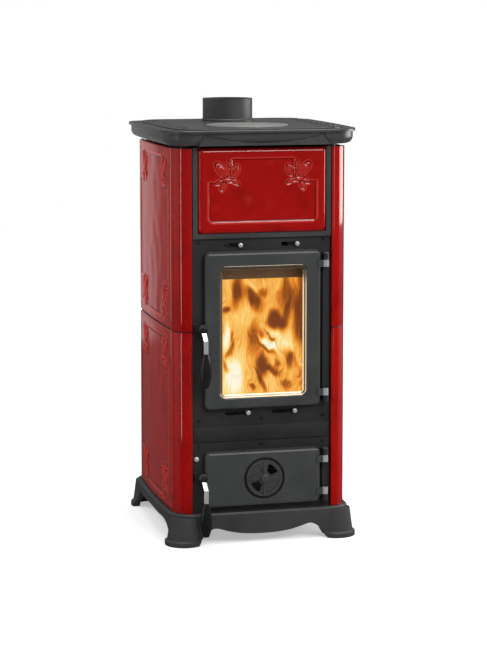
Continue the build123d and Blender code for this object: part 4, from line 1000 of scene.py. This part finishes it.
def spindle_nut(name, lever):
    """Domed nut over the eye of a lever: a turned cap, coned and rounded at its rim."""
    low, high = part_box(lever)
    eye_face = high[1] - eye_set_back * mm
    bpy.ops.mesh.primitive_cylinder_add(
        vertices=nut_sides, radius=nut_radius * mm, depth=nut_height * mm,
        location=(0.5 * (low[0] + high[0]), eye_face - 0.5 * nut_height * mm,
                  high[2] - eye_radius * mm),
        rotation=(math.radians(90.0), 0.0, 0.0))
    nut = bpy.context.object
    nut.name = name
    bpy.ops.object.transform_apply(location=True, rotation=True, scale=True)
    bpy.ops.object.mode_set(mode="EDIT")
    bpy.ops.mesh.select_all(action="DESELECT")
    bpy.ops.object.mode_set(mode="OBJECT")
    for face in nut.data.polygons:
        face.select = face.normal.y < -0.9
    bpy.ops.object.mode_set(mode="EDIT")
    for inward, forward in nut_crown:
        bpy.ops.mesh.inset(thickness=inward * mm)
        bpy.ops.transform.translate(value=(0.0, -forward * mm, 0.0))
    bpy.ops.mesh.select_all(action="DESELECT")
    bpy.ops.object.mode_set(mode="OBJECT")
    round_edges(nut, nut_rounding, 40.0, 45.0)
    return nut


for door in ("fire", "ash"):
    lever = door + "_handle_lever"
    dress(softened(lever, door + "_chrome_strap", strap_rounding), chrome, door + "_handle",
          "chrome", lever)
    dress(spindle_nut(door + "_spindle_nut", lever), black_steel, door + "_handle", "steel")

# Firebox. Pressed vermiculite bricks stand on a sooty cast hearth with its grate; a steel
# deflector, browned by heat, sends air down the pane.

brick_clay = grainy_finish("vermiculite", (0.36, 0.29, 0.205, 1.0), (0.155, 0.115, 0.080, 1.0),
                           0.92, 0.05, 0.7, grain=420.0, patches=16.0, bump_depth=0.0012)
sooty_cast = grainy_finish("sooty_cast", (0.020, 0.018, 0.017, 1.0), (0.075, 0.068, 0.062, 1.0),
                           0.82, 0.08, 0.5, grain=600.0, patches=24.0, bump_depth=0.0008)
browned_steel = grainy_finish("browned_steel", (0.300, 0.150, 0.052, 1.0),
                              (0.230, 0.112, 0.040, 1.0), 0.55, 0.08, 0.15, grain=500.0)
finish_nodes(brick_clay, "firebrick_left", "firebrick_right", "firebrick_back", "baffle_plate")
finish_nodes(sooty_cast, "ash_floor", "hearth_plate", "fire_grate", "log_guard", "shaker_rod")
finish_nodes(browned_steel, "air_deflector")

# Firewood. Three split logs are stacked, two below and one above, charred in streaks that glow
# at their edges; each has bark round one side, two split faces and rough ends.

log_reach = 117.0
log_lines = 60
log_rounds = 44
log_roughness = 0.75
rough_allowance = 1.8
end_reach, end_fall = 4.0, 0.10
split_half_angle = 52.0
split_depth = 0.42
bark_from = 0.93
logs = (
    # name, middle y, middle z, radius, split side turn, seed
    ("split_log_front", -29.0, 345.0, 32.0, 215.0, 31),
    ("split_log_rear", 47.0, 345.0, 32.0, 320.0, 32),
    ("split_log_top", 13.0, 402.0, 31.0, 250.0, 33),
)
split_pale, split_grain = (0.42, 0.27, 0.135, 1.0), (0.66, 0.49, 0.29, 1.0)
bark_brown = (0.060, 0.038, 0.024, 1.0)
char_black = (0.012, 0.010, 0.009, 1.0)
char_glow = (0.75, 0.16, 0.012, 1.0)


def slow_noise(across, up, wave_across, wave_up, seed, count=14):
    """Smooth unevenness between about -1 and 1."""
    return 0.8 * pressed_waves(across, up, wave_across, wave_up, seed, count, (0.55, 1.8))


def split_log(name, middle_y, middle_z, radius, split_turn, seed):
    """Log along the stove's width, closed at its ends."""
    along, turn = np.meshgrid(np.linspace(-log_reach, log_reach, log_lines),
                              np.linspace(0.0, math.tau, log_rounds + 1))
    size = np.full_like(turn, radius)
    for side in (-split_half_angle, split_half_angle):
        away = np.cos(turn - math.radians(split_turn + side))
        flat = split_depth * radius / np.maximum(away, 0.05)
        size = np.minimum(size, np.where(away > 0.05, flat, size))
    bark = np.clip((size / radius - bark_from) / (1.0 - bark_from), 0.0, 1.0)
    around = 40.0 * np.cos(turn) + 12.0 * np.sin(turn)
    rough = slow_noise(around, along, 9.0, 60.0, seed) * (0.5 + bark)
    size = size - rough_allowance + rough * log_roughness
    inside_end = np.clip((log_reach - np.abs(along)) / end_reach, 0.0, 1.0)
    size = size * (1.0 - end_fall + end_fall * np.sqrt(inside_end))
    log = grid_piece(name, np.stack(
        (along, middle_y + size * np.cos(turn), middle_z + size * np.sin(turn)), axis=-1))
    mark_points(log, "bark", bark)
    weld_all(0.01)
    select_open_rims()
    bpy.ops.mesh.edge_face_add()
    turn_faces_out()
    bpy.ops.object.shade_smooth_by_angle(angle=math.radians(40.0))
    return log


def wood_finish():
    """Burning wood: pale split faces, dark bark, char in streaks with glowing cracks."""
    surface, tree, board = principled("burning_wood")
    place = object_place(tree)
    drawn_out = add_node(tree, "ShaderNodeMapping", {"Vector": place, "Scale": (0.12, 1.0, 1.0)})
    grain = noise(tree, drawn_out.outputs["Vector"], 260.0, 4.0)
    char = noise(tree, place, 24.0, 5.0, 0.7)
    wood = blended(tree, grain, split_pale, split_grain)
    barked = blended(tree, point_mask(tree, "bark"), wood, bark_brown)
    feed(tree, board, {
        "Base Color": blended(tree, ranged(tree, char, 0.44, 0.56), barked, char_black),
        "Roughness": 0.86,
        "Emission Color": colour_stops(
            tree, char, ((0.50, grey(0.0)), (0.545, char_glow), (0.60, grey(0.0)))),
        "Emission Strength": 1.0,
        "Normal": bumped(tree, grain, 0.6, 0.0012),
    })
    return surface


burning_wood = wood_finish()
for log_facts in logs:
    dress(split_log(*log_facts), burning_wood, "stove_body", "wood", "firewood")

# Embers. Lumps of glowing charcoal lie between the log guard and the rear brick, over the grate,
# each a roughened stone of its own size.

ember_count = 90
ember_across, ember_along = (-150.0, 150.0), (-168.0, 150.0)
ember_floor = 304.0
ember_sizes = (6.0, 13.0)
ember_stretch = (0.65, 1.2)
ember_roughness = 0.16
ember_lift, ember_clearance = 0.55, 0.2
ember_seed = 51


def ember_bed():
    """Bed of lumps, flat where they lie on the grate, joined in one piece."""
    rolls = np.random.default_rng(ember_seed)
    bpy.ops.mesh.primitive_ico_sphere_add(subdivisions=2, radius=1.0)
    lump = bpy.context.object
    shape = np.empty(len(lump.data.vertices) * 3)
    lump.data.vertices.foreach_get("co", shape)
    shape = shape.reshape(-1, 3)
    lumps = []
    for _ in range(ember_count):
        copy = lump.copy()
        copy.data = lump.data.copy()
        scene.collection.objects.link(copy)
        size = rolls.uniform(*ember_sizes)
        stretch = rolls.uniform(*ember_stretch, 3) * size
        rough = shape * stretch * (1.0 + ember_roughness * rolls.standard_normal((len(shape), 1)))
        turn = Matrix.Rotation(rolls.uniform(0.0, math.tau), 3, "Z")
        middle = (rolls.uniform(*ember_across), rolls.uniform(*ember_along),
                  ember_floor + ember_lift * size)
        placed = rough @ np.array(turn).T + np.array(middle)
        placed[:, 2] = np.maximum(placed[:, 2], ember_floor + ember_clearance)
        copy.data.vertices.foreach_set("co", (placed * mm).reshape(-1))
        lumps.append(copy)
    bpy.data.objects.remove(lump)
    bpy.ops.object.select_all(action="DESELECT")
    for copy in lumps:
        copy.select_set(True)
    bpy.context.view_layer.objects.active = lumps[0]
    bpy.ops.object.join()
    bed = bpy.context.object
    bed.name = "ember_bed"
    bpy.ops.object.shade_smooth_by_angle(angle=math.radians(30.0))
    return bed


def ember_finish():
    surface, tree, board = principled("embers")
    heat = noise(tree, object_place(tree), 60.0, 4.0)
    feed(tree, board, {
        "Base Color": blended(tree, heat, (0.02, 0.018, 0.017, 1.0), (0.26, 0.23, 0.21, 1.0)),
        "Roughness": 0.9,
        "Emission Color": colour_stops(tree, heat, (
            (0.46, grey(0.0)), (0.54, (0.42, 0.045, 0.004, 1.0)), (0.66, (1.0, 0.32, 0.03, 1.0)))),
        "Emission Strength": 1.0,
    })
    return surface


dress(ember_bed(), ember_finish(), "stove_body", "wood")

# Flames. Two thin curtains of glowing gas rise in front of the logs and behind them, brightest
# low at the left, drawn out into streaks and torn by dark gaps.

flame_strokes = (
    # across, up, turn, half length, half width, heat: below 0 for a gap, above 0 for a tongue
    (-26.0, 612.0, 86.0, 42.0, 13.4, -1.00),
    (13.0, 592.0, 123.0, 30.0, 13.4, -0.95),
    (39.0, 605.0, 36.0, 14.0, 10.8, -0.60),
    (101.0, 607.0, 88.0, 45.0, 18.0, -0.70),
    (143.0, 567.0, 90.0, 87.0, 17.0, -0.90),
    (122.0, 575.0, 90.0, 60.0, 14.0, -0.35),
    (73.0, 534.0, 95.0, 24.0, 20.6, -1.05),
    (102.0, 538.0, 80.0, 40.0, 10.8, -0.65),
    (-56.0, 565.0, 127.0, 10.0, 6.7, -0.80),
    (-41.0, 486.0, 98.0, 20.0, 3.3, -0.60),
    (-45.0, 457.0, 60.0, 16.0, 5.7, -0.70),
    (-56.0, 418.0, 107.0, 16.0, 5.1, -0.70),
    (16.0, 489.0, 87.0, 44.0, 12.3, -0.62),
    (37.0, 422.0, 92.0, 30.0, 14.1, -1.00),
    (52.0, 460.0, 150.0, 29.0, 6.7, -0.85),
    (112.0, 434.0, 104.0, 25.0, 12.9, -0.85),
    (65.0, 405.0, 151.0, 26.0, 6.7, -0.80),
    (104.0, 366.0, 140.0, 15.0, 9.8, -0.60),
    (32.0, 382.0, 116.0, 33.0, 5.1, -0.75),
    (13.0, 363.0, 132.0, 11.0, 4.6, -0.70),
    (76.0, 422.0, 101.0, 13.0, 7.2, -0.60),
    (35.0, 501.0, 104.0, 13.0, 5.7, -0.45),
    (66.0, 482.0, 129.0, 35.0, 2.3, -0.80),
    (-39.0, 397.0, 90.0, 52.0, 21.8, 0.75),
    (-56.0, 497.0, 94.0, 32.0, 8.7, 0.75),
    (57.0, 472.0, 144.0, 36.0, 10.8, 0.85),
    (77.0, 498.0, 148.0, 36.0, 15.4, 0.55),
    (-18.0, 554.0, 104.0, 35.0, 28.3, 0.22),
    (-49.0, 607.0, 90.0, 26.0, 8.7, 0.12),
    (-18.0, 588.0, 90.0, 19.0, 10.3, 0.20),
    (15.0, 610.0, 118.0, 29.0, 7.7, 0.28),
    (121.0, 523.0, 79.0, 40.0, 7.7, 0.25),
    (58.0, 375.0, 90.0, 29.0, 18.0, 0.20),
    (-15.0, 412.0, 87.0, 52.0, 14.1, 0.25),
    (110.0, 464.0, 169.0, 25.0, 15.4, 0.25),
    (131.0, 406.0, 92.0, 49.0, 9.3, -0.12),
    (122.0, 395.0, 71.0, 21.0, 10.3, 0.12),
    (-98.0, 600.0, 88.0, 40.0, 12.0, -0.90),
    (-120.0, 520.0, 94.0, 60.0, 16.0, -0.80),
    (-88.0, 430.0, 92.0, 60.0, 20.0, 0.35),
    (-130.0, 400.0, 80.0, 40.0, 12.0, -0.50),
)
stroke_share = 0.62
stroke_rim, stroke_fade = 0.95, 1.35
flame_low, flame_high = 316.0, 684.0
flame_half = 162.0
flame_pitch = 1.6
flame_top, flame_top_fade = 640.0, 60.0
flame_side, flame_side_fade = 138.0, 22.0
flame_bulge, flame_ripple, flame_swell = 14.0, 5.0, 2.5
flame_sway, flame_flutter, flame_climb = 4.0, 1.3, 5.0
streak_heat, fine_heat = 0.085, 0.03
streak_waves = 26
top_ragged, side_ragged = 16.0, 6.0
fire_colours = (
    # heat, and the colour of the gas there: brown smoke, orange, yellow, nearly white
    (0.0, (0.19, 0.046, 0.010, 1.0)),
    (0.16, (0.30, 0.080, 0.012, 1.0)),
    (0.34, (0.62, 0.175, 0.014, 1.0)),
    (0.50, (0.88, 0.34, 0.042, 1.0)),
    (0.68, (1.0, 0.58, 0.135, 1.0)),
    (0.84, (1.0, 0.80, 0.35, 1.0)),
    (1.0, (1.0, 0.955, 0.76, 1.0)),
)


def flame_curtain(name, middle_y, strokes, calm, seed):
    """Curtain of flame: listed gaps and tongues, drawn out into rising streaks."""
    columns = int(2.0 * flame_half / flame_pitch)
    rows = int((flame_high - flame_low) / flame_pitch)
    across, up = np.meshgrid(np.linspace(-flame_half, flame_half, columns),
                             np.linspace(flame_low, flame_high, rows))
    lean = flame_sway * slow_noise(across, up, 55.0, 120.0, seed)
    lean += flame_flutter * slow_noise(across, up, 16.0, 60.0, seed + 1)
    climb = flame_climb * slow_noise(across, up, 40.0, 90.0, seed + 2)
    heat = np.full_like(across, calm)
    for middle_across, middle_up, turn, half_long, half_wide, amount in strokes:
        along, aside = along_and_aside(across + lean - middle_across, up + climb - middle_up,
                                       turn, half_long, half_wide)
        reach = np.hypot(along, aside * (1.0 + 0.35 * along))
        heat += stroke_share * amount * soft_step(reach - stroke_rim, stroke_fade)
    streaks = slow_noise(across + 1.6 * lean, up, 7.0, 90.0, seed + 3, streak_waves)
    fine = slow_noise(across + 1.9 * lean, up, 3.4, 34.0, seed + 4, streak_waves)
    heat = heat + streak_heat * streaks + fine_heat * fine
    past_top = up - flame_top - top_ragged * streaks
    past_side = np.abs(across) - flame_side - side_ragged * streaks
    top_fall = np.clip(past_top / flame_top_fade, 0.0, 1.0)
    side_fall = np.clip(past_side / flame_side_fade, 0.0, 1.0)
    heat = heat - 0.5 * top_fall - 0.35 * side_fall
    cover = np.clip(1.6 - 1.1 * top_fall - 1.5 * side_fall ** 2, 0.0, 1.0)
    depth = middle_y - flame_bulge * (1.0 - (across / flame_half) ** 2)
    depth += flame_ripple * slow_noise(across, up, 60.0, 110.0, seed + 5)
    depth -= flame_swell * np.clip(heat, 0.0, 1.0)
    curtain = grid_piece(name, np.stack((across, depth, up), axis=-1))
    mark_points(curtain, "fire_heat", heat)
    mark_points(curtain, "fire_cover", cover)
    curtain.data.update()
    bpy.ops.object.shade_smooth()
    return curtain


def flame_finish():
    """Glowing gas, coloured by its heat and rippled by fine rising wisps."""
    surface, tree, board = principled("flame")
    rising = add_node(tree, "ShaderNodeMapping",
                      {"Vector": object_place(tree), "Scale": (1.0, 1.0, 0.10)})
    wisps = ranged(tree, noise(tree, rising.outputs["Vector"], 320.0, 2.0), 0.0, 1.0, -0.07, 0.07)
    heat = maths(tree, "ADD", point_mask(tree, "fire_heat"), wisps)
    feed(tree, board, {
        "Base Color": grey(0.0),
        "Roughness": 1.0,
        "Specular IOR Level": 0.0,
        "Emission Color": colour_stops(tree, heat, fire_colours),
        "Emission Strength": 1.0,
        "Alpha": point_mask(tree, "fire_cover"),
    })
    return surface


flame = flame_finish()
rear_strokes = tuple((-stroke[0],) + stroke[1:] for stroke in flame_strokes)
dress(flame_curtain("flames_front", -60.0, flame_strokes, 0.58, 71), flame, "stove_body", "wood")
dress(flame_curtain("flames_rear", 112.0, rear_strokes, 0.50, 81), flame, "stove_body", "wood")

# Ash pan and rear heat shield. Folded galvanised sheet, the pan dusted with ash; the shield
# stands off the back wall on steel spacers.

zinc_sheet = grainy_finish("zinc_sheet", (0.30, 0.31, 0.32, 1.0), (0.40, 0.41, 0.415, 1.0),
                           0.42, 0.10, 0.12, metal=0.7, grain=240.0, patches=38.0)
shield_paint = grainy_finish("shield_paint", (0.030, 0.031, 0.032, 1.0), (0.040, 0.041, 0.042, 1.0),
                             0.50, 0.08, 0.20, grain=1100.0)
finish_nodes(zinc_sheet, "ash_pan")
finish_nodes(shield_paint, "rear_shield")

bpy.ops.object.select_all(action="DESELECT")
